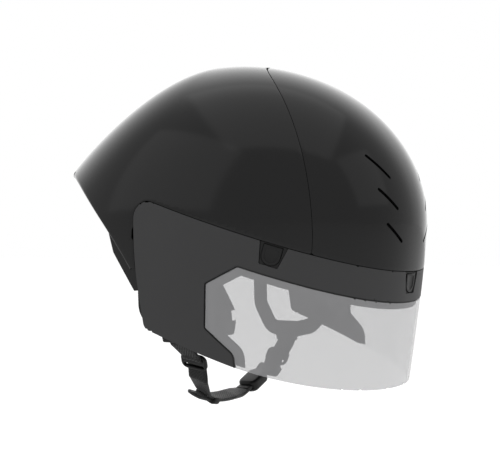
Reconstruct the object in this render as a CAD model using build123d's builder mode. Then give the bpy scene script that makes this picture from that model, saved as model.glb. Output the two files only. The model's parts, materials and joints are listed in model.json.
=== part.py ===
from build123d import *
from math import atan2, cos, degrees, pi, radians, sin, sqrt, tan
import os

# Aero time trial helmet, in millimetres.
# The helmet faces -Y, +X is the wearer's left and +Z is up.
# The origin is the middle of the wearer's head at the height of the temples.

# Outer form: a dome through level plan curves, widest at widest_height
half_width = 100.6
front_reach = 144.0
rear_reach = 161.9
dome_height = 114.8
widest_height = 24.2
crown_y = 20.25
skirt_depth = 120.0
front_power = 2.165
rear_power = 2.217
tail_fall_share = 0.482
reach_tuck_share = 0.10
width_tuck_share = 0.03
tuck_power = 1.3
dome_angles = (14, 28, 42, 56, 68, 78, 86.5)
skirt_shares = (1.0, 0.62, 0.3, 0)
quarter_angles = (0, 12, 26, 40, 54, 67, 79, 90)

# Shells, skin and foam
shell_wall = 2.2
bond_gap = 0.3
skin_inset = 4.2
skin_wall = 1.2
seam_gap = 0.5
edge_gap = 0.7
overrun = 40.0

# Side outline of the brim, the seam and the tail rim
brim_front_y = -121.0
brim_front_z = -8.8
head_pitch = 17.9
seam_top = (-5.0, 139.8)
seam_mid = (-68.0, 83.0)
seam_foot_y = -84.0
rim_tail = (160.0, 58.5)
rim_rear = (111.4, 55.5)
rim_flank = (82.1, 37.4)
rim_low = (58.0, 13.6)
rim_ear = (37.8, -12.8)
rim_foot = (24.0, -34.0)
rim_recess = 3.0

# Brow slits, three on each side, as places in the front view
slit_width = 2.2
slit_tops = ((36.3, 67.5), (35.8, 45.5), (31.8, 22.8))
slit_feet = ((24.3, 53.7), (22.6, 33.3), (17.9, 11.8))

# Lower skin outline in the side view
skin_rise = 6.0
skin_drop = 14.0
foam_lap = 5.0
skin_rear_top = (67.0, 26.0)
skin_rear_mid = (59.5, 4.0)
skin_rear_foot = (41.0, -22.0)
skin_back_step = (8.0, -20.0)
tab_rear_top_y = 3.0
tab_rear_foot = (2.0, -48.0)
tab_front_foot = (-29.0, -51.0)
tab_front_top = (-27.0, -12.0)
tab_corner = 5.0
brow_step_y = -44.0

# Head cavity, in the pitched frame of the head
head_half_width = 79.0
head_front = 97.0
head_rear = 98.0
head_height = 88.0
head_equator = 12.0
head_depth = 95.0

# Comfort pads
pad_thickness = 4.6
brow_pad_half = 62.0
brow_pad_low = 25.0
brow_pad_tall = 24.0
brow_pad_back_y = -36.0
crown_pad_half = 22.0
crown_pad_length = 96.0
side_pad_low = 36.0
side_pad_tall = 22.0
side_pad_length = 62.0
rear_pad_half = 46.0
rear_pad_low = 30.0
rear_pad_tall = 24.0
rear_pad_front_y = 36.0

# Visor
visor_wall = 2.4
visor_tail_y = 60.0
visor_back_y = 37.6
visor_mid = (36.9, -4.0)
visor_foot = (29.6, -46.6)
visor_back_corner = 11.0
visor_foot_corner = 6.0
lens_start = (-36.5, -69.3)
lens_mid = (-77.0, -80.4)
lens_front = (-135.0, -90.5)
opening_toe = (-36.2, -61.5)
opening_low = (-17.1, -44.6)
opening_high = (-18.1, -15.1)
opening_peak = (-40.6, -3.5)
opening_corner = 2.0
toe_corner = 7.0
seal_width = 1.0
seal_gap = 0.05
seal_inset = 0.35
lens_inset = 0.2
bezel_wall = 1.4
bezel_over_frame = 5.0
bezel_over_lens = 6.0
bezel_edge_gap = 1.5

# Magnet catches at the brim
catch_top = 17.5
catch_foot = 10.0
catch_tall = 14.5
catch_drop = 1.2
catch_corner = 1.5
cap_corner = 4.2
cap_clear = 0.35
cap_sink = 0.5
cap_deep = 3.2
cap_ridge = 0.8
ridge_radius = 4.2
ridge_start = 200.0
ridge_turn = 140.0
side_catch_y = -61.5
magnet_radius = 3.6
magnet_tall = 1.6
magnet_gap = 0.45
magnet_fit = 0.1

# Webbing straps of the two sides
strap_x = 76.0
strap_wide = 12.0
strap_thick = 1.6
strap_rear_top = (47.0, -8.0)
strap_rear = (46.0, -40.0)
strap_rear_low = (36.0, -58.0)
strap_low = (20.0, -61.0)
strap_front_low = (0.0, -56.5)
strap_front_top = (-20.0, -38.0)
right_strap_rear = (46.0, -36.0)
right_strap_rear_low = (36.0, -47.0)
right_strap_low = (20.0, -50.0)
right_strap_front_low = (0.0, -46.5)
strap_turn = 9.0
strap_clear = 0.4
anchor_radius = 4.5
anchor_head = 1.4
anchor_pin = 1.8
anchor_bury = 6.0
divider_y = 21.5
divider_wide = 26.0
divider_top_z = -53.0
divider_foot_z = -69.0
right_divider_rise = 11.0
divider_thick = 4.4
divider_corner = 3.0
webbing_wide = 15.0
webbing_bury = 3.0
divider_bury = 1.5

# Chin loop: one arc in the front view, along which the chin strap runs
loop_centre_x = -3.0
loop_centre_z = 20.0
loop_radius = 127.0
loop_y = 33.0
chin_wide = 13.0
chin_thick = 2.2
chin_from = -19.0
chin_to = 13.8
socket_from = 16.5
socket_to = 27.0
socket_wide = 16.0
socket_tall = 9.0
socket_edge = 2.0
tongue_from = 14.0
tongue_to = 24.0
tongue_wide = 11.0
tongue_thick = 3.0
tongue_rest = 0.6
fit_clear = 0.35
keeper_from = -16.5
keeper_to = -8.0
keeper_wide = 20.0
keeper_tall = 5.0
keeper_ledge = 3.4

# Ladder fittings and the bracket, each with its place, the way down and its lie
ladder_wide = 20.0
ladder_tall = 12.6
ladder_thick = 3.0
ladder_corner = 1.6
slot_wide = 15.8
slot_tall = 2.4
slot_spacing = 6.0
thread_rise = 6.8
thread_fall = 5.5
left_ladder_at = (68.5, 26.0, -81.0)
left_ladder_way = (-0.42, 0.16, -0.9)
bracket_at = (60.0, 29.0, -91.0)
bracket_way = (-0.79, 0.1, -0.61)
bracket_tall = 9.0
bracket_thick = 4.4
right_ladder_at = (-60.5, 15.5, -71.8)
right_ladder_way = (0.5, -0.2, -0.85)
right_bend_at = (-51.0, 18.5, -85.5)
right_bend_way = (0.5, 0.45, -0.74)
strap_lie = (0.0, 1.0, 0.0)

# Cradle: two arms on temple pivots, a yoke that slides on them and a dial
pivot_y = -36.0
pivot_z = 12.0
cradle_fall = 7.0
cradle_half = 69.0
cradle_straight = 50.0
band_wall = 2.0
band_tall = 14.0
arm_inner = 66.8
arm_wall = 1.8
arm_tall = 10.0
arm_end = 40.0
arm_clear = 0.3
arm_eye = 8.0
sleeve_from = 22.0
sleeve_wall = 1.6
pin_radius = 2.5
pin_clear = 0.06
pin_head = 4.5
pin_head_tall = 1.4
pin_reach = 80.0
rest_rise = 18.0
rest_half_angle = 26.0
nape_pad_angle = 15.0
nape_pad_turn = 20.0
nape_pad_wall = 4.5
nape_pad_tall = 22.0
housing_wide = 36.0
housing_tall = 25.0
housing_deep = 9.0
housing_corner = 8.0
housing_edge = 1.2
knob_radius = 12.5
knob_tall = 8.5
knob_edge = 1.0
knob_gap = 0.4
knob_rib = 1.1
knob_ribs = 20
spool_radius = 3.5
spool_clear = 0.06
spool_reach = 6.0
screw_radius = 1.6
screw_head = 2.6
screw_head_tall = 1.2
screw_spread = 10.0
screw_long = 6.5

os.makedirs("parts", exist_ok=True)


# Points of the plan curve, from the front tip or the side to the next tip
def quarter(width, reach, power):
    turn = 2 / power
    return [
        (width * abs(sin(radians(a))) ** turn, reach * abs(cos(radians(a))) ** turn)
        for a in quarter_angles
    ]


# One level section of the dome, drawn as a half and mirrored
def plan_section(plane, width, front, rear, centre):
    head = [(x, centre - y) for x, y in quarter(width, front, front_power)]
    tail = [(x, centre + y) for x, y in reversed(quarter(width, rear, rear_power))]
    with BuildSketch(plane) as section:
        with BuildLine():
            Spline(*head, tangents=[(1, 0), (0, 1)])
            Spline(*tail, tangents=[(0, 1), (-1, 0)])
            mirror(about=Plane.YZ)
        make_face()
    return section.sketch


# One level section of the visor: the dome's front with straight sides behind
def visor_section(plane, width, front, tail):
    head = [(x, crown_y - y) for x, y in quarter(width, front, front_power)]
    with BuildSketch(plane) as section:
        with BuildLine():
            Spline(*head, tangents=[(1, 0), (0, 1)])
            Polyline((width, crown_y), (width, tail), (0, tail))
            mirror(about=Plane.YZ)
        make_face()
    return section.sketch


# Width and reach factors of the form at a depth under its widest level
def skirt_factors(depth):
    share = (depth / dome_height) ** tuck_power
    return 1 - width_tuck_share * share, 1 - reach_tuck_share * share


# The helmet's outer form, moved in by an inset
def dome(inset):
    sections = []
    for share in skirt_shares:
        depth = share * skirt_depth
        wide, deep = skirt_factors(depth)
        lean = 1 + tail_fall_share * depth / dome_height
        sections.append(
            plan_section(
                Plane.XY.offset(widest_height - depth),
                (half_width - inset) * wide,
                (front_reach - inset) * deep,
                (rear_reach - inset) * deep * lean,
                crown_y,
            )
        )
    for angle in dome_angles:
        rise = sin(radians(angle))
        hug = cos(radians(angle))
        sections.append(
            plan_section(
                Plane.XY.offset(widest_height + (dome_height - inset) * rise),
                (half_width - inset) * hug,
                (front_reach - inset) * hug,
                (rear_reach - inset) * hug * (1 - tail_fall_share * rise),
                crown_y,
            )
        )
    with BuildPart() as body:
        loft(sections)
    return body.part


# The visor's form, moved in by an inset, with its back plane at a given place
def visor_form(inset, tail):
    sections = []
    for share in skirt_shares:
        depth = share * skirt_depth
        wide, deep = skirt_factors(depth)
        plane = Plane.XY.offset(widest_height - depth)
        sections.append(
            visor_section(plane, half_width * wide - inset, front_reach * deep - inset, tail)
        )
    for angle in dome_angles[:2]:
        hug = cos(radians(angle))
        plane = Plane.XY.offset(widest_height + dome_height * sin(radians(angle)))
        sections.append(
            visor_section(plane, half_width * hug - inset, front_reach * hug - inset, tail)
        )
    with BuildPart() as body:
        loft(sections)
    return body.part


# Height of the brim line in the side view
def brim(y, drop=0):
    return brim_front_z + (y - brim_front_y) * tan(radians(head_pitch)) - drop


# Rounds the corner of an open sketch that lies nearest to a place
def round_corner(sketch, place, size):
    fillet(sketch.vertices().sort_by_distance(place)[0], size)


far_front = brim_front_y - overrun
far_rear = rim_tail[0] + overrun
far_top = widest_height + dome_height + overrun
far_down = -skirt_depth - overrun
far_side = half_width + overrun

# Side view of the visor: brim line, rear edge, foot and lens edge
with BuildSketch(Plane.YZ) as visor_outline:
    with BuildLine():
        Line((far_front, brim(far_front)), (visor_back_y, brim(visor_back_y)))
        ThreePointArc((visor_back_y, brim(visor_back_y)), visor_mid, visor_foot)
        Line(visor_foot, lens_start)
        ThreePointArc(lens_start, lens_mid, lens_front)
        Polyline(lens_front, (far_front, lens_front[1]), (far_front, brim(far_front)))
    make_face()
    round_corner(visor_outline, (visor_back_y, brim(visor_back_y)), visor_back_corner)
    round_corner(visor_outline, visor_foot, visor_foot_corner)

# Side view of the lens opening, open towards the front and below
opening_end_z = opening_peak[1] + (far_front - opening_peak[0]) * tan(radians(head_pitch))
with BuildSketch(Plane.YZ) as opening_outline:
    with BuildLine():
        Polyline(
            (far_front, opening_end_z),
            opening_peak,
            opening_high,
            opening_low,
            opening_toe,
            lens_start,
            (lens_start[0], far_down),
            (far_front, far_down),
            close=True,
        )
    make_face()
    for corner, size in (
        (opening_peak, opening_corner),
        (opening_high, opening_corner),
        (opening_low, opening_corner),
        (opening_toe, toe_corner),
    ):
        round_corner(opening_outline, corner, size)

# Side view of everything above the tail rim, with the rim raised
def above_rim(raised):
    points = [
        (y, z + raised) for y, z in (rim_tail, rim_rear, rim_flank, rim_low, rim_ear, rim_foot)
    ]
    with BuildSketch(Plane.YZ) as side:
        with BuildLine():
            Spline(*points)
            Polyline(
                points[-1],
                (far_front, points[-1][1]),
                (far_front, far_top),
                (far_rear, far_top),
                (far_rear, points[0][1]),
                points[0],
            )
        make_face()
    return side.sketch_local


# Side view in front of the seam between the two shells
with BuildSketch(Plane.YZ) as before_seam:
    with BuildLine():
        ThreePointArc(seam_top, seam_mid, (seam_foot_y, brim(seam_foot_y)))
        Polyline(
            (seam_foot_y, brim(seam_foot_y)),
            (seam_foot_y, far_down),
            (far_front, far_down),
            (far_front, far_top),
            (seam_top[0], far_top),
            seam_top,
        )
    make_face()

# Side view of the satin skin: a band under the visor, two ear tabs and the rear edge
def skin_side(raised):
    rear_top = (skin_rear_top[0], skin_rear_top[1] + raised)
    points = [
        (far_front, brim(far_front, skin_drop)),
        (brow_step_y, brim(brow_step_y, skin_drop)),
        tab_front_top,
        tab_front_foot,
        tab_rear_foot,
        (tab_rear_top_y, skin_back_step[1]),
        skin_back_step,
        skin_rear_foot,
        skin_rear_mid,
        rear_top,
        (visor_back_y, brim(visor_back_y, -skin_rise - raised)),
        (far_front, brim(far_front, -skin_rise - raised)),
    ]
    with BuildSketch(Plane.YZ) as side:
        with BuildLine():
            Polyline(*points, close=True)
        make_face()
        for corner in (tab_front_foot, tab_rear_foot, rear_top):
            round_corner(side, corner, tab_corner)
    return side


skin_outline = skin_side(0)


# A side view drawn out to both sides
def slab(sketch):
    start = sketch.moved(Location((-far_side, 0, 0)))
    with BuildPart() as body:
        extrude(start, amount=2 * far_side, dir=(1, 0, 0))
    return body.part


# Side views of the two shells, clear of the visor and of each other
with BuildSketch(Plane.YZ) as visor_room:
    add(visor_outline.sketch_local)
    offset(amount=edge_gap)
with BuildSketch(Plane.YZ) as seam_room:
    add(before_seam.sketch_local)
    offset(amount=seam_gap)
with BuildSketch(Plane.YZ) as front_side:
    add(above_rim(0))
    add(before_seam.sketch_local, mode=Mode.INTERSECT)
    add(visor_room.sketch_local, mode=Mode.SUBTRACT)
with BuildSketch(Plane.YZ) as rear_side:
    add(above_rim(0))
    add(seam_room.sketch_local, mode=Mode.SUBTRACT)
    add(visor_room.sketch_local, mode=Mode.SUBTRACT)

# Brow slits through the front shell, mirrored about the centre plane
with BuildPart() as slits:
    for top, foot in zip(slit_tops, slit_feet):
        run = (top[0] - foot[0], top[1] - foot[1])
        with BuildSketch(Plane.XZ):
            with Locations(((top[0] + foot[0]) / 2, (top[1] + foot[1]) / 2)):
                SlotOverall(
                    sqrt(run[0] ** 2 + run[1] ** 2),
                    slit_width,
                    rotation=degrees(atan2(run[1], run[0])),
                )
        extrude(amount=-far_front)
    mirror(about=Plane.YZ)

with BuildPart() as shell_stock:
    add(dome(0))
    add(dome(shell_wall), mode=Mode.SUBTRACT)

# Front shell: the glossy brow and crown in front of the seam
with BuildPart() as front_shell:
    add(shell_stock.part)
    add(slab(front_side.sketch), mode=Mode.INTERSECT)
    add(slits.part, mode=Mode.SUBTRACT)

# Rear shell: the glossy crown and tail behind the seam
with BuildPart() as rear_shell:
    add(shell_stock.part)
    add(slab(rear_side.sketch), mode=Mode.INTERSECT)


# Plane on the outer form at a magnet catch: side 0 is the front, -1 and 1 the flanks
def catch_plane(side):
    catch_y = side_catch_y if side else brim_front_y
    height = brim(catch_y, catch_drop + catch_tall / 2)
    depth = widest_height - height
    wide, deep = skirt_factors(depth)
    width = half_width * wide
    reach = front_reach * deep
    steep = tuck_power / dome_height * (depth / dome_height) ** (tuck_power - 1)
    ahead = (crown_y - catch_y) / reach if side else 1
    across = side * (1 - ahead**front_power) ** (1 / front_power)
    out_x = side * abs(across) ** (front_power - 1) / width
    out_y = -(ahead ** (front_power - 1)) / reach
    out_z = -steep * (
        abs(across) ** front_power * half_width * width_tuck_share / width
        + ahead**front_power * front_reach * reach_tuck_share / reach
    )
    return Plane(
        origin=(across * width, crown_y - ahead * reach, height),
        x_dir=(-out_y, out_x, 0),
        z_dir=(out_x, out_y, out_z),
    )


# A round disc under a catch plane
def catch_disc(side, radius, depth, tall):
    with BuildPart() as disc:
        with BuildSketch(catch_plane(side).offset(-depth)):
            Circle(radius)
        extrude(amount=-tall)
    return disc.part


# Outline of a catch window or of the cap in it
def catch_outline(side, depth, clear, foot_corner):
    top = catch_top / 2 - clear
    foot = catch_foot / 2 - clear
    rise = catch_tall / 2 - clear
    with BuildSketch(catch_plane(side).offset(-depth)) as outline:
        Polygon((-foot, -rise), (foot, -rise), (top, rise), (-top, rise), align=None)
        fillet(outline.vertices().sort_by(Axis.Y)[:2], foot_corner)
        fillet(outline.vertices().sort_by(Axis.Y)[-2:], catch_corner)
    return outline.sketch


sides = (-1, 0, 1)
cap_back = cap_sink + cap_deep
shell_magnet_depth = cap_back + magnet_gap

# Magnets in the shell, one behind each catch
with BuildPart() as shell_magnets:
    for side in sides:
        add(catch_disc(side, magnet_radius, shell_magnet_depth, magnet_tall))
with BuildPart() as magnet_room:
    for side in sides:
        add(
            catch_disc(
                side,
                magnet_radius + magnet_fit,
                shell_magnet_depth - overrun,
                magnet_tall + magnet_fit + overrun,
            )
        )

# Lower shell: the satin skin behind the visor, with the ear tabs
with BuildPart() as lower_shell:
    add(dome(skin_inset))
    add(dome(skin_inset + skin_wall), mode=Mode.SUBTRACT)
    add(slab(skin_outline.sketch), mode=Mode.INTERSECT)
    add(magnet_room.part, mode=Mode.SUBTRACT)

# Frame of the wearer's head, pitched nose down
head_frame = Plane(
    origin=(0, 0, 0),
    x_dir=(1, 0, 0),
    z_dir=(0, -sin(radians(head_pitch)), cos(radians(head_pitch))),
)


# Room for the head, moved in by an inset
def head_room(inset):
    wide = head_half_width - inset
    front = head_front - inset
    rear = head_rear - inset
    sections = []
    for depth in (head_depth, head_depth / 2, 0):
        sections.append(plan_section(head_frame.offset(head_equator - depth), wide, front, rear, 0))
    for angle in dome_angles:
        hug = cos(radians(angle))
        level = head_equator + (head_height - inset) * sin(radians(angle))
        plane = head_frame.offset(level)
        sections.append(plan_section(plane, wide * hug, front * hug, rear * hug, 0))
    with BuildPart() as body:
        loft(sections)
    return body.part


# Side view of the webbing loop of one side, with room all round
def strap_band(points, room):
    with BuildSketch(Plane.YZ) as band:
        with BuildLine():
            FilletPolyline(*points, radius=strap_turn)
        trace(line_width=strap_wide + 2 * room)
    return band.sketch


left_strap_line = (
    strap_rear_top,
    strap_rear,
    strap_rear_low,
    strap_low,
    strap_front_low,
    strap_front_top,
)
right_strap_line = (
    strap_rear_top,
    right_strap_rear,
    right_strap_rear_low,
    right_strap_low,
    right_strap_front_low,
    strap_front_top,
)
strap_ends = (strap_rear_top, strap_front_top)
strap_outer = strap_x + strap_thick / 2
strap_inner = strap_x - strap_thick / 2

# Room in the foam for the ends of the webbing loops and their anchors
with BuildPart() as strap_room:
    with BuildSketch(Plane.YZ.offset(-strap_outer - strap_clear)) as strap_room_side:
        for end in strap_ends:
            with Locations(end):
                Circle(strap_wide / 2 + anchor_head)
    extrude(amount=2 * (strap_outer + strap_clear))
    for side, points in ((1, left_strap_line), (-1, right_strap_line)):
        add(
            extrude(
                strap_band(points, strap_clear),
                amount=strap_outer + strap_clear,
                dir=(side, 0, 0),
                mode=Mode.PRIVATE,
            )
        )

# Side views of the foam: the part behind the shells and the part behind the skin
with BuildSketch(Plane.YZ) as foam_skin_side:
    add(skin_side(foam_lap).sketch_local)
    offset(amount=-bond_gap)
with BuildSketch(Plane.YZ) as skin_room:
    add(skin_outline.sketch_local)
    offset(amount=bond_gap)
with BuildSketch(Plane.YZ) as visor_shadow:
    add(visor_outline.sketch_local)
    offset(amount=skin_rise + edge_gap + seam_gap)
with BuildSketch(Plane.YZ) as foam_high_side:
    add(above_rim(rim_recess))
    add(visor_shadow.sketch_local, mode=Mode.SUBTRACT)
    add(skin_room.sketch_local, mode=Mode.SUBTRACT)

# Foam liner: fills both shells and the skin round the head room
with BuildPart() as foam_low:
    add(dome(skin_inset + skin_wall + bond_gap))
    add(slab(foam_skin_side.sketch), mode=Mode.INTERSECT)
with BuildPart() as pivot_rod:
    with BuildSketch(Plane.YZ.offset(-pin_reach - bond_gap)):
        with Locations((pivot_y, pivot_z)):
            Circle(pin_radius + pin_clear)
    extrude(amount=2 * (pin_reach + bond_gap))
with BuildPart() as anchor_rod:
    with BuildSketch(Plane.YZ.offset(-strap_outer - anchor_bury - bond_gap)):
        with Locations(strap_rear_top, strap_front_top):
            Circle(anchor_pin + pin_clear)
    extrude(amount=2 * (strap_outer + anchor_bury + bond_gap))
with BuildPart() as foam_liner:
    add(dome(shell_wall + bond_gap))
    add(slab(foam_high_side.sketch), mode=Mode.INTERSECT)
    add(foam_low.part)
    add(head_room(0), mode=Mode.SUBTRACT)
    add(magnet_room.part, mode=Mode.SUBTRACT)
    add(strap_room.part, mode=Mode.SUBTRACT)
    add(pivot_rod.part, mode=Mode.SUBTRACT)
    add(anchor_rod.part, mode=Mode.SUBTRACT)

# Comfort pads on the inside of the foam
with BuildPart() as pad_stock:
    add(head_room(bond_gap))
    add(head_room(pad_thickness), mode=Mode.SUBTRACT)


# A box in the head frame, from one corner to the other
def head_box(low, high):
    with BuildPart() as box:
        with BuildSketch(head_frame.offset(low[2])):
            with Locations(((low[0] + high[0]) / 2, (low[1] + high[1]) / 2)):
                Rectangle(high[0] - low[0], high[1] - low[1])
        extrude(amount=high[2] - low[2])
    return box.part


with BuildPart() as brow_pad:
    add(pad_stock.part)
    add(
        head_box(
            (-brow_pad_half, -head_front - overrun, brow_pad_low),
            (brow_pad_half, brow_pad_back_y, brow_pad_low + brow_pad_tall),
        ),
        mode=Mode.INTERSECT,
    )
with BuildPart() as crown_pad:
    add(pad_stock.part)
    add(
        head_box(
            (-crown_pad_half, -crown_pad_length / 2, head_equator),
            (crown_pad_half, crown_pad_length / 2, head_equator + head_height + overrun),
        ),
        mode=Mode.INTERSECT,
    )
with BuildPart() as left_side_pad:
    add(pad_stock.part)
    add(
        head_box(
            (0, -side_pad_length / 2, side_pad_low),
            (half_width, side_pad_length / 2, side_pad_low + side_pad_tall),
        ),
        mode=Mode.INTERSECT,
    )
with BuildPart() as right_side_pad:
    mirror(left_side_pad.part, about=Plane.YZ)
with BuildPart() as rear_pad:
    add(pad_stock.part)
    add(
        head_box(
            (-rear_pad_half, rear_pad_front_y, rear_pad_low),
            (rear_pad_half, head_rear + overrun, rear_pad_low + rear_pad_tall),
        ),
        mode=Mode.INTERSECT,
    )


# A wall of the visor between two insets, cut to a side view
def visor_piece(outer, inner, side_view):
    with BuildPart() as piece:
        add(visor_form(outer, visor_tail_y))
        add(visor_form(inner, visor_tail_y + overrun), mode=Mode.SUBTRACT)
        add(slab(side_view), mode=Mode.INTERSECT)
    return piece.part


# Visor frame: the matte panel with the lens opening and the three catch windows
with BuildSketch(Plane.YZ) as frame_side:
    add(visor_outline.sketch_local)
    add(opening_outline.sketch_local, mode=Mode.SUBTRACT)
with BuildPart() as visor_frame:
    add(visor_piece(0, visor_wall, frame_side.sketch))
    for side in sides:
        extrude(
            catch_outline(side, -overrun / 2, 0, catch_corner),
            amount=-overrun,
            mode=Mode.SUBTRACT,
        )

# Seal round the lens, in the opening of the frame
with BuildSketch(Plane.YZ) as seal_hole:
    add(opening_outline.sketch_local)
    offset(amount=-seal_gap - seal_width)
with BuildSketch(Plane.YZ) as seal_side:
    add(opening_outline.sketch_local)
    offset(amount=-seal_gap)
    add(seal_hole.sketch_local, mode=Mode.SUBTRACT)
    add(visor_outline.sketch_local, mode=Mode.INTERSECT)
with BuildPart() as lens_seal:
    add(visor_piece(seal_inset, visor_wall - lens_inset, seal_side.sketch))

# Lens
with BuildSketch(Plane.YZ) as lens_side:
    add(opening_outline.sketch_local)
    offset(amount=-2 * seal_gap - seal_width)
    add(visor_outline.sketch_local, mode=Mode.INTERSECT)
with BuildPart() as visor_lens:
    add(visor_piece(lens_inset, visor_wall, lens_side.sketch))

# Bezel behind the edge of the lens, lapping frame and lens
with BuildSketch(Plane.YZ) as bezel_hole:
    add(opening_outline.sketch_local)
    offset(amount=-bezel_over_lens)
with BuildSketch(Plane.YZ) as bezel_bounds:
    add(visor_outline.sketch_local)
    offset(amount=-bezel_edge_gap)
with BuildSketch(Plane.YZ) as bezel_side:
    add(opening_outline.sketch_local)
    offset(amount=bezel_over_frame)
    add(bezel_hole.sketch_local, mode=Mode.SUBTRACT)
    add(bezel_bounds.sketch_local, mode=Mode.INTERSECT)
bezel_inset = visor_wall + seal_gap
with BuildPart() as lens_bezel:
    add(visor_piece(bezel_inset, bezel_inset + bezel_wall, bezel_side.sketch))
    for side in sides:
        extrude(
            catch_outline(side, -overrun / 2, 0, catch_corner),
            amount=-overrun,
            mode=Mode.SUBTRACT,
        )


# Cap in a catch window, with its arc ridge and a pocket for the magnet
def magnet_cap(side):
    with BuildPart() as cap:
        extrude(catch_outline(side, cap_sink, cap_clear, cap_corner), amount=-cap_deep)
        with BuildSketch(catch_plane(side).offset(-cap_sink)):
            with BuildLine():
                CenterArc((0, 0), ridge_radius, ridge_start, ridge_turn)
            trace(line_width=cap_ridge)
        extrude(amount=cap_ridge / 2)
        add(
            catch_disc(
                side,
                magnet_radius + magnet_fit,
                cap_back - magnet_tall - magnet_fit,
                overrun,
            ),
            mode=Mode.SUBTRACT,
        )
    return cap.part


with BuildPart() as magnet_cap_right:
    add(magnet_cap(-1))
with BuildPart() as magnet_cap_front:
    add(magnet_cap(0))
with BuildPart() as magnet_cap_left:
    add(magnet_cap(1))
with BuildPart() as visor_magnets:
    for side in sides:
        add(catch_disc(side, magnet_radius, cap_back - magnet_tall, magnet_tall))

# Webbing loops of the two sides, with a hole at each end for its anchor
def webbing_loop(side, points):
    with BuildPart() as loop:
        band = strap_band(points, 0).moved(Location((side * strap_x - strap_thick / 2, 0, 0)))
        extrude(band, amount=strap_thick, dir=(1, 0, 0))
        add(anchor_rod.part, mode=Mode.SUBTRACT)
    return loop.part


with BuildPart() as left_strap:
    add(webbing_loop(1, left_strap_line))
with BuildPart() as right_strap:
    add(webbing_loop(-1, right_strap_line))

# Anchors: a head inside each end of the webbing and a pin into the foam
with BuildPart() as strap_anchors:
    with BuildSketch(Plane.YZ.offset(strap_inner - bond_gap)):
        with Locations(strap_rear_top, strap_front_top):
            Circle(anchor_radius)
    extrude(amount=-anchor_head)
    with BuildSketch(Plane.YZ.offset(strap_inner - bond_gap)):
        with Locations(strap_rear_top, strap_front_top):
            Circle(anchor_pin)
    extrude(amount=strap_thick + anchor_bury)
    mirror(about=Plane.YZ)


# Plane of a flat fitting: its Y runs up the chain of straps, its X across them
def lie_plane(at, way):
    down = Vector(*way).normalized()
    lie = Vector(*strap_lie)
    across = (lie - down * lie.dot(down)).normalized()
    return Plane(origin=at, x_dir=across, z_dir=across.cross(-down))


# A length of webbing with flat sides between two planes
def ribbon(start, end, room=0):
    with BuildPart() as length:
        for plane in (start, end):
            with BuildSketch(plane):
                Rectangle(webbing_wide + 2 * room, strap_thick + 2 * room)
        loft(ruled=True)
    return length.part


# Cross-cut of a strap at a fitting's plane, moved up it and off its face
def cut_across(plane, up, off):
    place = plane.from_local_coords((0, up, off))
    return Plane(origin=place, x_dir=plane.x_dir, z_dir=-plane.y_dir)


# Fitting with two slots
def ladder(plane):
    with BuildPart() as plate:
        with BuildSketch(plane.offset(-ladder_thick / 2)):
            RectangleRounded(ladder_wide, ladder_tall, ladder_corner)
            with GridLocations(0, slot_spacing, 1, 2):
                Rectangle(slot_wide, slot_tall, mode=Mode.SUBTRACT)
        extrude(amount=ladder_thick)
    return plate.part


thread_off = ladder_thick / 2 + fit_clear + strap_thick / 2


# Webbing that comes down one face of a fitting, turns through its upper slot and runs
# down the other face
def threaded(plane, face):
    start = plane.from_local_coords((-webbing_wide / 2, 0, 0))
    with BuildPart() as webbing:
        with BuildSketch(Plane(origin=start, x_dir=plane.y_dir, z_dir=plane.x_dir)):
            with BuildLine():
                Polyline(
                    (thread_rise, face * thread_off),
                    (slot_spacing / 2, face * thread_off),
                    (slot_spacing / 2, -face * thread_off),
                    (-thread_fall, -face * thread_off),
                )
            trace(line_width=strap_thick)
        extrude(amount=webbing_wide)
    return webbing.part


# Divider: holds the webbing loop of one side and the end of the lower strap
divider_pocket = (strap_x, divider_y, divider_foot_z + divider_bury)
right_divider_pocket = (-strap_x, divider_y, divider_pocket[2] + right_divider_rise)
left_ladder_plane = lie_plane(left_ladder_at, left_ladder_way)
right_ladder_plane = lie_plane(right_ladder_at, right_ladder_way)
bracket_plane = lie_plane(bracket_at, bracket_way)
divider_plane = Plane(origin=divider_pocket, x_dir=strap_lie, z_dir=(0, 0, -1))
right_divider_plane = Plane(
    origin=right_divider_pocket,
    x_dir=strap_lie,
    z_dir=(0, 0, -1),
)


def divider(side, points, rise, pocket):
    with BuildPart() as block:
        with BuildSketch(Plane.YZ.offset(side * strap_x - divider_thick / 2)):
            with Locations((divider_y, (divider_top_z + divider_foot_z) / 2 + rise)):
                RectangleRounded(divider_wide, divider_top_z - divider_foot_z, divider_corner)
        extrude(amount=divider_thick)
        slot = strap_band(points, strap_clear / 2).moved(
            Location((side * strap_x - strap_thick / 2 - strap_clear / 2, 0, 0))
        )
        extrude(slot, amount=strap_thick + strap_clear, dir=(1, 0, 0), mode=Mode.SUBTRACT)
        with BuildSketch(pocket):
            Rectangle(webbing_wide + strap_clear, strap_thick + strap_clear)
        extrude(amount=divider_bury + strap_clear, mode=Mode.SUBTRACT)
    return block.part


with BuildPart() as left_divider:
    add(divider(1, left_strap_line, 0, divider_plane))
with BuildPart() as right_divider:
    add(divider(-1, right_strap_line, right_divider_rise, right_divider_plane))


# Place on the chin loop at an angle from straight down, moved out from the arc
def loop_place(angle, out=0):
    reach = loop_radius + out
    return (
        loop_centre_x + reach * sin(radians(angle)),
        loop_y,
        loop_centre_z - reach * cos(radians(angle)),
    )


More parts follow.
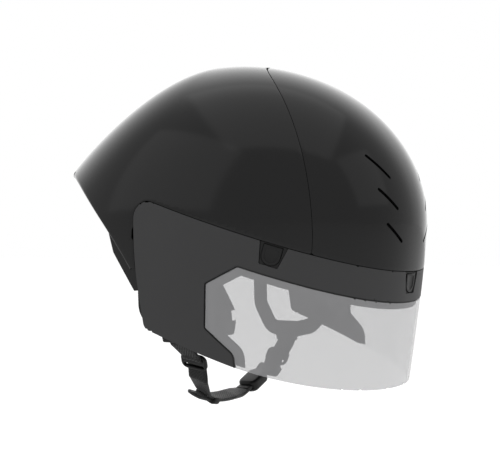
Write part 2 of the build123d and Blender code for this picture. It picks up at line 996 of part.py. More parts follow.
# A bent bar along the chin loop, between two angles and two offsets from the arc
def loop_bar(start, end, wide, inner, outer):
    with BuildPart() as bar:
        with BuildSketch(Plane.XZ.offset(-loop_y - wide / 2)):
            with BuildLine():
                corners = [
                    (loop_place(angle, out)[0], loop_place(angle, out)[2])
                    for angle, out in (
                        (start, inner),
                        ((start + end) / 2, inner),
                        (end, inner),
                        (end, outer),
                        ((start + end) / 2, outer),
                        (start, outer),
                    )
                ]
                ThreePointArc(corners[0], corners[1], corners[2])
                Line(corners[2], corners[3])
                ThreePointArc(corners[3], corners[4], corners[5])
                Line(corners[5], corners[0])
            make_face()
        extrude(amount=wide)
    return bar.part


# Chin strap
with BuildPart() as chin_strap:
    add(loop_bar(chin_from, chin_to, chin_wide, -chin_thick / 2, chin_thick / 2))

# Buckle tongue, at the end of the chin strap
with BuildPart() as buckle_tongue:
    add(loop_bar(tongue_from, tongue_to, tongue_wide, -tongue_thick / 2, tongue_thick / 2))

# Buckle socket, with the room for the tongue
with BuildPart() as buckle_socket:
    add(loop_bar(socket_from, socket_to, socket_wide, -socket_tall / 2, socket_tall / 2))
    chamfer(buckle_socket.edges().filter_by(Axis.Y), socket_edge)
    add(
        loop_bar(
            socket_from - tongue_rest,
            tongue_to + tongue_rest,
            tongue_wide + 2 * fit_clear,
            -tongue_thick / 2 - fit_clear,
            tongue_thick / 2 + fit_clear,
        ),
        mode=Mode.SUBTRACT,
    )

# Keeper: the chin strap runs through it, the right lower strap ends in its ledge
keeper_top = -keeper_tall / 2 - keeper_ledge
keeper_pocket = -keeper_tall / 2 - keeper_ledge / 2
with BuildPart() as strap_keeper:
    add(loop_bar(keeper_from, keeper_to, keeper_wide, keeper_top, keeper_tall / 2))
    add(
        loop_bar(
            keeper_from - tongue_rest,
            keeper_to + tongue_rest,
            chin_wide + 2 * fit_clear,
            -chin_thick / 2 - fit_clear,
            chin_thick / 2 + fit_clear,
        ),
        mode=Mode.SUBTRACT,
    )
    add(
        loop_bar(
            keeper_from - tongue_rest,
            (keeper_from + keeper_to) / 2,
            webbing_wide + strap_clear,
            keeper_pocket - strap_thick / 2 - strap_clear / 2,
            keeper_pocket + strap_thick / 2 + strap_clear / 2,
        ),
        mode=Mode.SUBTRACT,
    )

# Ladder fittings of the two sides
with BuildPart() as left_ladder:
    add(ladder(left_ladder_plane))
with BuildPart() as right_ladder:
    add(ladder(right_ladder_plane))

# Bracket at the buckle, with a pocket for the end of the left lower strap
bracket_end = cut_across(bracket_plane, bracket_tall / 2 - webbing_bury, 0)
with BuildPart() as buckle_bracket:
    with BuildSketch(bracket_plane.offset(-bracket_thick / 2)):
        RectangleRounded(ladder_wide, bracket_tall, ladder_corner)
    extrude(amount=bracket_thick)
    with BuildSketch(bracket_end):
        Rectangle(webbing_wide + strap_clear, strap_thick + strap_clear)
    extrude(amount=strap_clear, mode=Mode.SUBTRACT)
    with BuildSketch(bracket_end):
        Rectangle(webbing_wide + strap_clear, strap_thick + strap_clear)
    extrude(amount=-webbing_bury - overrun, mode=Mode.SUBTRACT)



# Webbing from a divider, through a ladder, past further places to its end
def lower_strap(mouth, fitting, face, places):
    top = cut_across(fitting, thread_rise, face * thread_off)
    foot = cut_across(fitting, -thread_fall, -face * thread_off)
    with BuildPart() as webbing:
        add(threaded(fitting, face))
        add(ribbon(mouth, top))
        add(ribbon(mouth.offset(-divider_bury), mouth))
        for start, end in zip([foot] + places, places):
            add(ribbon(start, end))
    return webbing.part


# Lower straps: to the bracket on the left and to the keeper on the right
with BuildPart() as left_lower_strap:
    add(
        lower_strap(
            divider_plane.offset(divider_bury),
            left_ladder_plane,
            1,
            [cut_across(bracket_plane, bracket_tall / 2, 0), bracket_end],
        )
    )
keeper_mouth = Plane(
    origin=loop_place(keeper_from, keeper_pocket),
    x_dir=strap_lie,
    z_dir=(cos(radians(keeper_from)), 0, sin(radians(keeper_from))),
)
with BuildPart() as right_lower_strap:
    add(
        lower_strap(
            right_divider_plane.offset(divider_bury),
            right_ladder_plane,
            -1,
            [
                cut_across(lie_plane(right_bend_at, right_bend_way), 0, 0),
                keeper_mouth,
                keeper_mouth.offset(webbing_bury),
            ],
        )
    )

# Cradle plane: X is the wearer's left, Y runs back along the arms, Z up through them
cradle_back = (0, cos(radians(cradle_fall)), -sin(radians(cradle_fall)))
cradle_plane = Plane(
    origin=(0, pivot_y, pivot_z),
    x_dir=(1, 0, 0),
    z_dir=(0, sin(radians(cradle_fall)), cos(radians(cradle_fall))),
)
arm_outer = arm_inner + arm_wall

# Pivot pins of the arms: a head inside the arm and a pin into the foam
with BuildPart() as left_pivot:
    with BuildSketch(Plane.YZ.offset(arm_inner - arm_clear)):
        with Locations((pivot_y, pivot_z)):
            Circle(pin_head)
    extrude(amount=-pin_head_tall)
    with BuildSketch(Plane.YZ.offset(arm_inner - arm_clear)):
        with Locations((pivot_y, pivot_z)):
            Circle(pin_radius)
    extrude(amount=pin_reach - arm_inner)
with BuildPart() as right_pivot:
    mirror(left_pivot.part, about=Plane.YZ)

# Arms: flat strips with an eye at the temple pivot
with BuildPart() as left_arm:
    with BuildSketch(cradle_plane.offset(-arm_tall / 2)):
        with Locations(((arm_inner + arm_outer) / 2, arm_end / 2)):
            Rectangle(arm_wall, arm_end)
    extrude(amount=arm_tall)
    with BuildSketch(Plane.YZ.offset(arm_inner)):
        with Locations((pivot_y, pivot_z)):
            Circle(arm_eye)
    extrude(amount=arm_wall)
    with BuildSketch(Plane.YZ.offset(arm_inner - arm_clear)):
        with Locations((pivot_y, pivot_z)):
            Circle(pin_radius + pin_clear)
    extrude(amount=arm_wall + 2 * arm_clear, mode=Mode.SUBTRACT)
with BuildPart() as right_arm:
    mirror(left_arm.part, about=Plane.YZ)


# Part of the yoke's round band, between two radii and two angles from straight back
def yoke_arc(inner, outer, start, end, low, tall):
    with BuildPart() as arc:
        with BuildSketch(cradle_plane.offset(low)):
            with Locations((0, cradle_straight)):
                with BuildLine():
                    rays = [
                        (radius * sin(radians(angle)), radius * cos(radians(angle)))
                        for radius, angle in (
                            (inner, start),
                            (inner, (start + end) / 2),
                            (inner, end),
                            (outer, end),
                            (outer, (start + end) / 2),
                            (outer, start),
                        )
                    ]
                    ThreePointArc(rays[0], rays[1], rays[2])
                    Line(rays[2], rays[3])
                    ThreePointArc(rays[3], rays[4], rays[5])
                    Line(rays[5], rays[0])
                make_face()
        extrude(amount=tall)
    return arc.part.moved(Location(tuple(cradle_straight * share for share in cradle_back)))


band_inner = cradle_half - band_wall / 2
band_outer = cradle_half + band_wall / 2
sleeve_inner = arm_inner - arm_clear - sleeve_wall
sleeve_outer = arm_outer + arm_clear + sleeve_wall
sleeve_tall = arm_tall + 2 * (arm_clear + sleeve_wall)

# Screws that hold the dial housing on the yoke
housing_plane = Plane(
    origin=cradle_plane.from_local_coords((0, cradle_straight + band_outer, 0)),
    x_dir=(1, 0, 0),
    z_dir=cradle_back,
)
screw_places = ((-screw_spread, 0), (screw_spread, 0))
screw_face = -band_wall - screw_head_tall

with BuildPart() as cradle_screws:
    with BuildSketch(housing_plane.offset(screw_face - band_wall)):
        with Locations(screw_places):
            Circle(screw_head)
    extrude(amount=screw_head_tall)
    with BuildSketch(housing_plane.offset(screw_face - band_wall)):
        with Locations(screw_places):
            Circle(screw_radius)
    extrude(amount=screw_long + screw_head_tall)
with BuildPart() as screw_room:
    with BuildSketch(housing_plane.offset(screw_face - band_wall - overrun)):
        with Locations(screw_places):
            Circle(screw_radius + magnet_fit)
    extrude(amount=overrun + screw_long + screw_head_tall + magnet_fit)

# Yoke: a sleeve on each arm, the round band and the rest behind the head
with BuildPart() as cradle_yoke:
    with BuildSketch(cradle_plane.offset(-sleeve_tall / 2)):
        for side in (-1, 1):
            with Locations(
                (side * (sleeve_inner + sleeve_outer) / 2, (sleeve_from + cradle_straight) / 2)
            ):
                Rectangle(sleeve_outer - sleeve_inner, cradle_straight - sleeve_from)
    extrude(amount=sleeve_tall)
    with BuildSketch(cradle_plane.offset(-arm_tall / 2 - arm_clear)):
        for side in (-1, 1):
            with Locations((side * (arm_inner + arm_outer) / 2, cradle_straight / 2)):
                Rectangle(arm_wall + 2 * arm_clear, cradle_straight + overrun)
    extrude(amount=arm_tall + 2 * arm_clear, mode=Mode.SUBTRACT)
    add(yoke_arc(band_inner, band_outer, -90, 90, -band_tall / 2, band_tall))
    add(yoke_arc(band_inner, band_outer, -rest_half_angle, rest_half_angle, 0, rest_rise))
    add(screw_room.part, mode=Mode.SUBTRACT)

# Pads on the yoke's rest
pad_outer = band_inner - bond_gap
with BuildPart() as nape_pads:
    for turn in (-nape_pad_turn, nape_pad_turn):
        add(
            yoke_arc(
                pad_outer - nape_pad_wall,
                pad_outer,
                turn - nape_pad_angle / 2,
                turn + nape_pad_angle / 2,
                -band_tall / 2,
                nape_pad_tall,
            )
        )

# Dial housing, knob and spool
housing_start = bond_gap
knob_start = housing_start + housing_deep + knob_gap
with BuildPart() as dial_housing:
    with BuildSketch(housing_plane.offset(housing_start)):
        RectangleRounded(housing_wide, housing_tall, housing_corner)
    extrude(amount=housing_deep)
    chamfer(dial_housing.faces().sort_by(Axis.Y)[-1].edges(), housing_edge)
    with BuildSketch(housing_plane.offset(knob_start - knob_gap - spool_reach - spool_clear)):
        Circle(spool_radius + spool_clear)
    extrude(amount=spool_reach + overrun, mode=Mode.SUBTRACT)
    add(screw_room.part, mode=Mode.SUBTRACT)
with BuildPart() as dial_knob:
    with BuildSketch(housing_plane.offset(knob_start)):
        Circle(knob_radius)
        with PolarLocations(knob_radius, knob_ribs):
            Circle(knob_rib, mode=Mode.SUBTRACT)
    extrude(amount=knob_tall)
    chamfer(dial_knob.faces().sort_by(Axis.Y)[-1].edges(), knob_edge / 2)
    with BuildSketch(housing_plane.offset(knob_start)):
        Circle(spool_radius + magnet_fit)
    extrude(amount=knob_tall / 2, mode=Mode.SUBTRACT)
with BuildPart() as dial_spool:
    with BuildSketch(housing_plane.offset(knob_start - knob_gap - spool_reach)):
        Circle(spool_radius)
    extrude(amount=spool_reach + knob_gap + knob_tall / 2 - magnet_fit)

front_shell.part.label = "front_shell"
rear_shell.part.label = "rear_shell"
foam_liner.part.label = "foam_liner"
lower_shell.part.label = "lower_shell"
brow_pad.part.label = "brow_pad"
crown_pad.part.label = "crown_pad"
left_side_pad.part.label = "left_side_pad"
right_side_pad.part.label = "right_side_pad"
rear_pad.part.label = "rear_pad"
shell_magnets.part.label = "shell_magnets"
strap_anchors.part.label = "strap_anchors"
left_strap.part.label = "left_strap"
right_strap.part.label = "right_strap"
left_divider.part.label = "left_divider"
right_divider.part.label = "right_divider"
left_lower_strap.part.label = "left_lower_strap"
right_lower_strap.part.label = "right_lower_strap"
left_ladder.part.label = "left_ladder"
right_ladder.part.label = "right_ladder"
buckle_bracket.part.label = "buckle_bracket"
buckle_socket.part.label = "buckle_socket"
buckle_tongue.part.label = "buckle_tongue"
chin_strap.part.label = "chin_strap"
strap_keeper.part.label = "strap_keeper"
visor_frame.part.label = "visor_frame"
visor_lens.part.label = "visor_lens"
lens_seal.part.label = "lens_seal"
lens_bezel.part.label = "lens_bezel"
magnet_cap_left.part.label = "magnet_cap_left"
magnet_cap_right.part.label = "magnet_cap_right"
magnet_cap_front.part.label = "magnet_cap_front"
visor_magnets.part.label = "visor_magnets"
left_pivot.part.label = "left_pivot"
right_pivot.part.label = "right_pivot"
left_arm.part.label = "left_arm"
right_arm.part.label = "right_arm"
cradle_yoke.part.label = "cradle_yoke"
dial_housing.part.label = "dial_housing"
dial_knob.part.label = "dial_knob"
dial_spool.part.label = "dial_spool"
nape_pads.part.label = "nape_pads"
cradle_screws.part.label = "cradle_screws"

export_step(front_shell.part, "parts/front_shell.step")
export_step(rear_shell.part, "parts/rear_shell.step")
export_step(foam_liner.part, "parts/foam_liner.step")
export_step(lower_shell.part, "parts/lower_shell.step")
export_step(brow_pad.part, "parts/brow_pad.step")
export_step(crown_pad.part, "parts/crown_pad.step")
export_step(left_side_pad.part, "parts/left_side_pad.step")
export_step(right_side_pad.part, "parts/right_side_pad.step")
export_step(rear_pad.part, "parts/rear_pad.step")
export_step(shell_magnets.part, "parts/shell_magnets.step")
export_step(strap_anchors.part, "parts/strap_anchors.step")
export_step(left_strap.part, "parts/left_strap.step")
export_step(right_strap.part, "parts/right_strap.step")
export_step(left_divider.part, "parts/left_divider.step")
export_step(right_divider.part, "parts/right_divider.step")
export_step(left_lower_strap.part, "parts/left_lower_strap.step")
export_step(right_lower_strap.part, "parts/right_lower_strap.step")
export_step(left_ladder.part, "parts/left_ladder.step")
export_step(right_ladder.part, "parts/right_ladder.step")
export_step(buckle_bracket.part, "parts/buckle_bracket.step")
export_step(buckle_socket.part, "parts/buckle_socket.step")
export_step(buckle_tongue.part, "parts/buckle_tongue.step")
export_step(chin_strap.part, "parts/chin_strap.step")
export_step(strap_keeper.part, "parts/strap_keeper.step")
export_step(visor_frame.part, "parts/visor_frame.step")
export_step(visor_lens.part, "parts/visor_lens.step")
export_step(lens_seal.part, "parts/lens_seal.step")
export_step(lens_bezel.part, "parts/lens_bezel.step")
export_step(magnet_cap_left.part, "parts/magnet_cap_left.step")
export_step(magnet_cap_right.part, "parts/magnet_cap_right.step")
export_step(magnet_cap_front.part, "parts/magnet_cap_front.step")
export_step(visor_magnets.part, "parts/visor_magnets.step")
export_step(left_pivot.part, "parts/left_pivot.step")
export_step(right_pivot.part, "parts/right_pivot.step")
export_step(left_arm.part, "parts/left_arm.step")
export_step(right_arm.part, "parts/right_arm.step")
export_step(cradle_yoke.part, "parts/cradle_yoke.step")
export_step(dial_housing.part, "parts/dial_housing.step")
export_step(dial_knob.part, "parts/dial_knob.step")
export_step(dial_spool.part, "parts/dial_spool.step")
export_step(nape_pads.part, "parts/nape_pads.step")
export_step(cradle_screws.part, "parts/cradle_screws.step")
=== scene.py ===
"""Looks of the aero time trial helmet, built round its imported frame."""

import json
import logging
import math
from collections.abc import Callable, Iterator
from contextlib import contextmanager
from dataclasses import dataclass, field
from enum import Enum

import bmesh
import bpy
import numpy as np
from mathutils import Matrix, Vector

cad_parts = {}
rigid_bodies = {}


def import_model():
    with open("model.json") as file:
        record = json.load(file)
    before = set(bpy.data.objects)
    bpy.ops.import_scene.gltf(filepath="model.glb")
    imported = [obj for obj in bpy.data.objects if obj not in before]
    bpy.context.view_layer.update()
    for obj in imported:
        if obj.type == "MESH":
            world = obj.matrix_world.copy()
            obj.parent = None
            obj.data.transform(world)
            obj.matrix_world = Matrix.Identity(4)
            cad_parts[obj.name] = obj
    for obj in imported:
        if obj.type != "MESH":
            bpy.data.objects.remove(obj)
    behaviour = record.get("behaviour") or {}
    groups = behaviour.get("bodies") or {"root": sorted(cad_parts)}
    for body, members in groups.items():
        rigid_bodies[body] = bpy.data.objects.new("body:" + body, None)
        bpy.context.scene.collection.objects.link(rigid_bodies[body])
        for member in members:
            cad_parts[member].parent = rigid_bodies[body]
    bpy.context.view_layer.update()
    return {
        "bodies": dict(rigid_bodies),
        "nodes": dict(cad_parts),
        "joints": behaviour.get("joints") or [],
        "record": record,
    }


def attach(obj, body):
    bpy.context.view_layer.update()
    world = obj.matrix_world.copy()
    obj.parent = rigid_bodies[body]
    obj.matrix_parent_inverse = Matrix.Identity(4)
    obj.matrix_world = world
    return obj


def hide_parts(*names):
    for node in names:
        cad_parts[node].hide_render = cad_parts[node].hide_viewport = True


log = logging.getLogger("helmet")

Point2 = tuple[float, float]
Point3 = tuple[float, float, float]
Distance = Callable[[np.ndarray, np.ndarray], np.ndarray]
Place = Callable[[np.ndarray, np.ndarray], np.ndarray]

MM = 0.001
SHARP_TURN = 50.0
SMOOTH_TURN = 40.0
SOFT_TURN = 80.0
PLATE_WELD = 0.000005
FAR = 1e9


class Side(Enum):
    """The wearer's two sides, as signs of X."""

    LEFT = 1
    RIGHT = -1


class Catch(Enum):
    """The three catches of the visor, by where they stand along X."""

    RIGHT = -1
    FRONT = 0
    LEFT = 1


class Pad(Enum):
    """The comfort pads of the liner."""

    BROW = "brow_pad"
    CROWN = "crown_pad"
    LEFT = "left_side_pad"
    RIGHT = "right_side_pad"
    REAR = "rear_pad"


def deselect() -> None:
    """Leave edit mode and select nothing."""
    if bpy.context.object and bpy.context.object.mode != "OBJECT":
        bpy.ops.object.mode_set(mode="OBJECT")
    bpy.ops.object.select_all(action="DESELECT")


def activate(piece: bpy.types.Object) -> None:
    """Select one piece alone and make it active."""
    deselect()
    piece.select_set(True)
    bpy.context.view_layer.objects.active = piece


@contextmanager
def editing(piece: bpy.types.Object) -> Iterator[None]:
    """Edit one piece's mesh with all of it selected."""
    activate(piece)
    bpy.ops.object.mode_set(mode="EDIT")
    bpy.ops.mesh.select_all(action="SELECT")
    yield
    bpy.ops.object.mode_set(mode="OBJECT")


def finish_modifier(piece: bpy.types.Object, kind: str, **settings: object) -> None:
    """Add a modifier to a piece and apply it.

    Args:
        piece: The piece to change.
        kind: The modifier's type.
        settings: The modifier's values by name.
    """
    activate(piece)
    modifier = piece.modifiers.new(kind.lower(), kind)
    for key, value in settings.items():
        setattr(modifier, key, value)
    bpy.ops.object.modifier_apply(modifier=modifier.name)


def smooth(piece: bpy.types.Object, angle: float = 35.0) -> None:
    """Shade a piece smooth up to an angle in degrees."""
    activate(piece)
    bpy.ops.object.shade_smooth_by_angle(angle=math.radians(angle))


def tidy_mesh(piece: bpy.types.Object, gap: float = 0.00002) -> None:
    """Merge a piece's doubles and turn its faces outwards."""
    with editing(piece):
        bpy.ops.mesh.remove_doubles(threshold=gap)
        bpy.ops.mesh.dissolve_degenerate(threshold=gap / 2)
        bpy.ops.mesh.normals_make_consistent(inside=False)


def dress(piece: bpy.types.Object, material: bpy.types.Material) -> None:
    """Give a piece one material."""
    piece.data.materials.clear()
    piece.data.materials.append(material)


def mount(piece: bpy.types.Object, node: str, body: str) -> None:
    """Set a piece on the frame in a CAD node's place.

    Args:
        piece: The piece.
        node: The CAD node that it stands for.
        body: The body that it moves with.
    """
    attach(piece, body)
    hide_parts(node)
    log.info("%s: %d faces", piece.name, len(piece.data.polygons))


def piece_from(name: str, points: np.ndarray, faces: list[tuple[int, ...]]) -> bpy.types.Object:
    """Make a mesh piece from points and faces.

    Args:
        name: The piece's name.
        points: The points, one row each, in metres.
        faces: The corner numbers of each face.

    Returns:
        The new piece, linked to the scene.
    """
    mesh = bpy.data.meshes.new(name)
    mesh.from_pydata(points.tolist(), [], faces)
    mesh.update()
    piece = bpy.data.objects.new(name, mesh)
    bpy.context.scene.collection.objects.link(piece)
    return piece


def map_points(piece: bpy.types.Object, name: str, spots: np.ndarray) -> None:
    """Give a piece a surface map with one spot for each of its points."""
    layer = piece.data.uv_layers.new(name=name)
    for loop in piece.data.loops:
        layer.data[loop.index].uv = spots[loop.vertex_index]


def close_rim(front: np.ndarray, back: np.ndarray) -> None:
    """Bring a cushion's back to its front along the outer rows and columns."""
    for row in (0, -1):
        back[row], back[:, row] = front[row], front[:, row]


def cushion_faces(columns: int, rows: int, start: int = 0) -> list[tuple[int, ...]]:
    """Faces of a cushion's front and back, two grids of points one after the other.

    Args:
        columns: Points along each grid.
        rows: Points across each grid.
        start: The number of the front's first point.

    Returns:
        The corner numbers of each face.
    """
    count = columns * rows
    number = np.arange(start, start + count).reshape(columns, rows)
    faces = []
    for i in range(columns - 1):
        for j in range(rows - 1):
            quad = (number[i, j], number[i + 1, j], number[i + 1, j + 1], number[i, j + 1])
            faces.append(tuple(int(k) for k in quad))
            faces.append(tuple(int(k) + count for k in reversed(quad)))
    return faces


def plate(name: str, outline: list[Point2], thick: float) -> bpy.types.Object:
    """Make a flat plate in its own XY plane, centred in its thickness.

    Args:
        name: The piece's name.
        outline: The plate's corners in millimetres.
        thick: Its thickness in millimetres.

    Returns:
        The plate.
    """
    deselect()
    bpy.ops.mesh.primitive_circle_add(vertices=len(outline), radius=MM, fill_type="NGON")
    piece = bpy.context.object
    piece.name = name
    for vertex, (x, y) in zip(piece.data.vertices, outline):
        vertex.co = (x * MM, y * MM, 0)
    finish_modifier(piece, "SOLIDIFY", thickness=thick * MM, offset=0.0)
    tidy_mesh(piece, PLATE_WELD)
    return piece


def cut(piece: bpy.types.Object, cutter: bpy.types.Object) -> None:
    """Cut one piece's shape out of another and remove it."""
    finish_modifier(piece, "BOOLEAN", operation="DIFFERENCE", object=cutter, solver="EXACT")
    bpy.data.objects.remove(cutter)


def round_edges(piece: bpy.types.Object, width: float, angle: float = 35.0, steps: int = 3) -> None:
    """Round a piece's edges that turn by more than an angle, by a width in millimetres."""
    finish_modifier(
        piece,
        "BEVEL",
        width=width * MM,
        segments=steps,
        limit_method="ANGLE",
        angle_limit=math.radians(angle),
    )
    smooth(piece, SMOOTH_TURN)


def settle(piece: bpy.types.Object, matrix: Matrix) -> None:
    """Move a piece to its place and apply that to its mesh."""
    activate(piece)
    piece.matrix_world = matrix
    bpy.ops.object.transform_apply(location=True, rotation=True, scale=True)


def merge(piece: bpy.types.Object, others: list[bpy.types.Object]) -> None:
    """Join other pieces into one."""
    activate(piece)
    for other in others:
        other.select_set(True)
    bpy.ops.object.join()


def arc_through(start: Point2, middle: Point2, end: Point2, steps: int = 24) -> list[Point2]:
    """Points along the arc through three points.

    Args:
        start: Where the arc starts.
        middle: A point that it passes.
        end: Where it ends.
        steps: The number of chords.

    Returns:
        The points from start to end, both included.
    """
    (ax, ay), (bx, by), (cx, cy) = start, middle, end
    turn = 2 * (ax * (by - cy) + bx * (cy - ay) + cx * (ay - by))
    sa, sb, sc = ax * ax + ay * ay, bx * bx + by * by, cx * cx + cy * cy
    ox = (sa * (by - cy) + sb * (cy - ay) + sc * (ay - by)) / turn
    oy = (sa * (cx - bx) + sb * (ax - cx) + sc * (bx - ax)) / turn
    radius = math.hypot(ax - ox, ay - oy)
    first = math.atan2(ay - oy, ax - ox)
    passed = (math.atan2(by - oy, bx - ox) - first) % math.tau
    whole = (math.atan2(cy - oy, cx - ox) - first) % math.tau
    if passed > whole:
        whole -= math.tau
    return [
        (ox + radius * math.cos(first + whole * k / steps), oy + radius * math.sin(first + whole * k / steps))
        for k in range(steps + 1)
    ]


def rounded(points: list[Point2], radii: dict[int, float], steps: int = 6) -> list[Point2]:
    """Round chosen corners of a closed outline with arcs.

    Args:
        points: The outline's corners.
        radii: The radius for each corner number that is rounded.
        steps: The chords of each arc.

    Returns:
        The outline with its corners rounded.
    """
    result: list[Point2] = []
    for k, corner in enumerate(points):
        if k not in radii:
            result.append(corner)
            continue
        here = np.array(corner, float)
        back = np.array(points[k - 1]) - here
        ahead = np.array(points[(k + 1) % len(points)]) - here
        back /= np.linalg.norm(back)
        ahead /= np.linalg.norm(ahead)
        half = math.acos(float(np.clip(back @ ahead, -1, 1))) / 2
        run = radii[k] / math.tan(half)
        centre = here + (back + ahead) / np.linalg.norm(back + ahead) * radii[k] / math.sin(half)
        first, last = here + back * run - centre, here + ahead * run - centre
        whole = math.atan2(first[0] * last[1] - first[1] * last[0], float(first @ last))
        for j in range(steps + 1):
            turn = whole * j / steps
            spun = (
                first[0] * math.cos(turn) - first[1] * math.sin(turn),
                first[0] * math.sin(turn) + first[1] * math.cos(turn),
            )
            result.append((centre[0] + spun[0], centre[1] + spun[1]))
    return result


def travelled(line: np.ndarray) -> np.ndarray:
    """Distance along a line at each of its points."""
    return np.concatenate([[0], np.cumsum(np.linalg.norm(np.diff(line, axis=0), axis=1))])


def curve_through(points: list[Point2], steps: int = 12) -> list[Point2]:
    """A smooth curve through points, with free ends.

    Args:
        points: The points that the curve passes.
        steps: The chords between two points.

    Returns:
        The points of the curve.
    """
    knots = np.array(points)
    spans = np.linalg.norm(np.diff(knots, axis=0), axis=1)
    count = len(points)
    system = np.eye(count)
    right = np.zeros((count, 2))
    for k in range(1, count - 1):
        system[k, k - 1 : k + 2] = spans[k - 1], 2 * (spans[k - 1] + spans[k]), spans[k]
        right[k] = 6 * (
            (knots[k + 1] - knots[k]) / spans[k] - (knots[k] - knots[k - 1]) / spans[k - 1]
        )
    bend = np.linalg.solve(system, right)
    result = []
    for k in range(count - 1):
        for j in range(steps + (k == count - 2)):
            t = spans[k] * j / steps
            r = spans[k] - t
            value = (
                bend[k] * r**3 / (6 * spans[k])
                + bend[k + 1] * t**3 / (6 * spans[k])
                + (knots[k] / spans[k] - bend[k] * spans[k] / 6) * r
                + (knots[k + 1] / spans[k] - bend[k + 1] * spans[k] / 6) * t
            )
            result.append((float(value[0]), float(value[1])))
    return result


def box_outline(wide: float, tall: float, corner: float, steps: int = 6) -> list[Point2]:
    """Corners of a rectangle with round corners, centred."""
    x, y = wide / 2, tall / 2
    return rounded([(-x, -y), (x, -y), (x, y), (-x, y)], dict.fromkeys(range(4), corner), steps)


@dataclass
class Lie:
    """How a flat fitting lies: its centre in millimetres and its own three ways."""

    at: Vector
    across: Vector
    up: Vector
    out: Vector

    @classmethod
    def hung(cls, at: Point3, way: Point3) -> "Lie":
        """Lie of a fitting in a strap that runs down a way, flat along the helmet."""
        down, flat = Vector(way).normalized(), Vector((0, 1, 0))
        across = (flat - down * flat.dot(down)).normalized()
        out = across.cross(-down)
        return cls(Vector(at), across, out.cross(across), out)

    @classmethod
    def sideways(cls, at: Point3) -> "Lie":
        """Lie of a fitting that is flat in the side view."""
        return cls(Vector(at), Vector((0, 1, 0)), Vector((0, 0, 1)), Vector((1, 0, 0)))

    def spot(self, across: float, up: float, out: float) -> Point3:
        """A place in the helmet's frame from one in the fitting's own, in millimetres."""
        return tuple(self.at + self.across * across + self.up * up + self.out * out)

    def matrix(self, out: float = 0.0) -> Matrix:
        """The fitting's place in metres, moved out of its face by millimetres."""
        frame = Matrix((self.across, self.up, self.out)).transposed().to_4x4()
        frame.translation = (self.at + self.out * out) * MM
        return frame


def outline_distance(outline: list[Point2]) -> Distance:
    """Signed distance to a closed outline in the side view, negative inside.

    Args:
        outline: The outline's corners, as Y and Z in metres.

    Returns:
        A function of Y and Z arrays.
    """
    start = np.array(outline)
    end = np.roll(start, -1, axis=0)

    def distance(y: np.ndarray, z: np.ndarray) -> np.ndarray:
        """Distance of each place."""
        nearest = np.full(y.shape, FAR)
        inside = np.zeros(y.shape, bool)
        for (ay, az), (by, bz) in zip(start, end):
            dy, dz = by - ay, bz - az
            length = dy * dy + dz * dz
            if length == 0:
                continue
            t = np.clip(((y - ay) * dy + (z - az) * dz) / length, 0, 1)
            nearest = np.minimum(nearest, np.hypot(y - ay - t * dy, z - az - t * dz))
            if dz:
                crosses = (az > z) != (bz > z)
                inside ^= crosses & (y < ay + (z - az) * dy / dz)
        return np.where(inside, -nearest, nearest)

    return distance


@dataclass
class HelmetForm:
    """The outer form that shells, skin and visor share, in millimetres."""

    half_width: float = 100.6
    front_reach: float = 144.0
    rear_reach: float = 161.9
    dome_height: float = 114.8
    widest_height: float = 24.2
    crown_y: float = 20.25
    front_power: float = 2.165
    rear_power: float = 2.217
    tail_fall: float = 0.482
    reach_tuck: float = 0.10
    width_tuck: float = 0.03
    tuck_power: float = 1.3

    def sizes(self, rise: np.ndarray, inset: float) -> tuple[np.ndarray, ...]:
        """Half width, front reach, rear reach and height at a rise.

        Args:
            rise: Angle over the widest level in radians, or under it as a share of the height.
            inset: How far inside the outer face, in millimetres.

        Returns:
            Four arrays in millimetres.
        """
        over = np.clip(rise, 0, math.pi / 2)
        depth = np.clip(-rise, 0, None)
        share = depth**self.tuck_power
        hug = np.cos(over)
        wide = (self.half_width - inset) * hug * (1 - self.width_tuck * share)
        front = (self.front_reach - inset) * hug * (1 - self.reach_tuck * share)
        rear = (self.rear_reach - inset) * hug * (1 - self.reach_tuck * share)
        rear = rear * (1 - self.tail_fall * np.sin(over)) * (1 + self.tail_fall * depth)
        height = self.widest_height + (self.dome_height - inset) * np.sin(over)
        return wide, front, rear, height - depth * self.dome_height

    def dome(self, turn: np.ndarray, rise: np.ndarray, inset: float = 0.0) -> np.ndarray:
        """Points of the dome at a turn from straight ahead and a rise.

        Args:
            turn: Angle round the helmet in radians, 0 ahead and positive to the left.
            rise: See sizes.
            inset: How far inside the outer face, in millimetres.

        Returns:
            The points in metres.
        """
        wide, front, rear, height = self.sizes(rise, inset)
        across, along = np.sin(turn), np.cos(turn)
        ahead = along >= 0
        power = 2 / np.where(ahead, self.front_power, self.rear_power)
        x = wide * np.sign(across) * np.abs(across) ** power
        y = self.crown_y - np.where(ahead, front, -rear) * np.abs(along) ** power
        return np.stack([x, y, height + 0 * x], -1) * MM

    def wrap(self, run: np.ndarray, rise: np.ndarray, inset: float = 0.0) -> np.ndarray:
        """Points of the visor's form: the dome's front with straight sides behind.

        Args:
            run: Turn in quarter turns from straight ahead; past 1, the sides run back.
            rise: See sizes.
            inset: How far inside the outer face, in millimetres.

        Returns:
            The points in metres.
        """
        wide, front, _, height = self.sizes(rise, 0.0)
        turn = np.clip(np.abs(run), 0, 1) * math.pi / 2
        past = np.clip(np.abs(run) - 1, 0, None) * self.half_width
        power = 2 / self.front_power
        x = np.sign(run) * (wide - inset) * np.sin(turn) ** power
        y = self.crown_y + past - (front - inset) * np.cos(turn) ** power
        return np.stack([x, y, height + 0 * x], -1) * MM


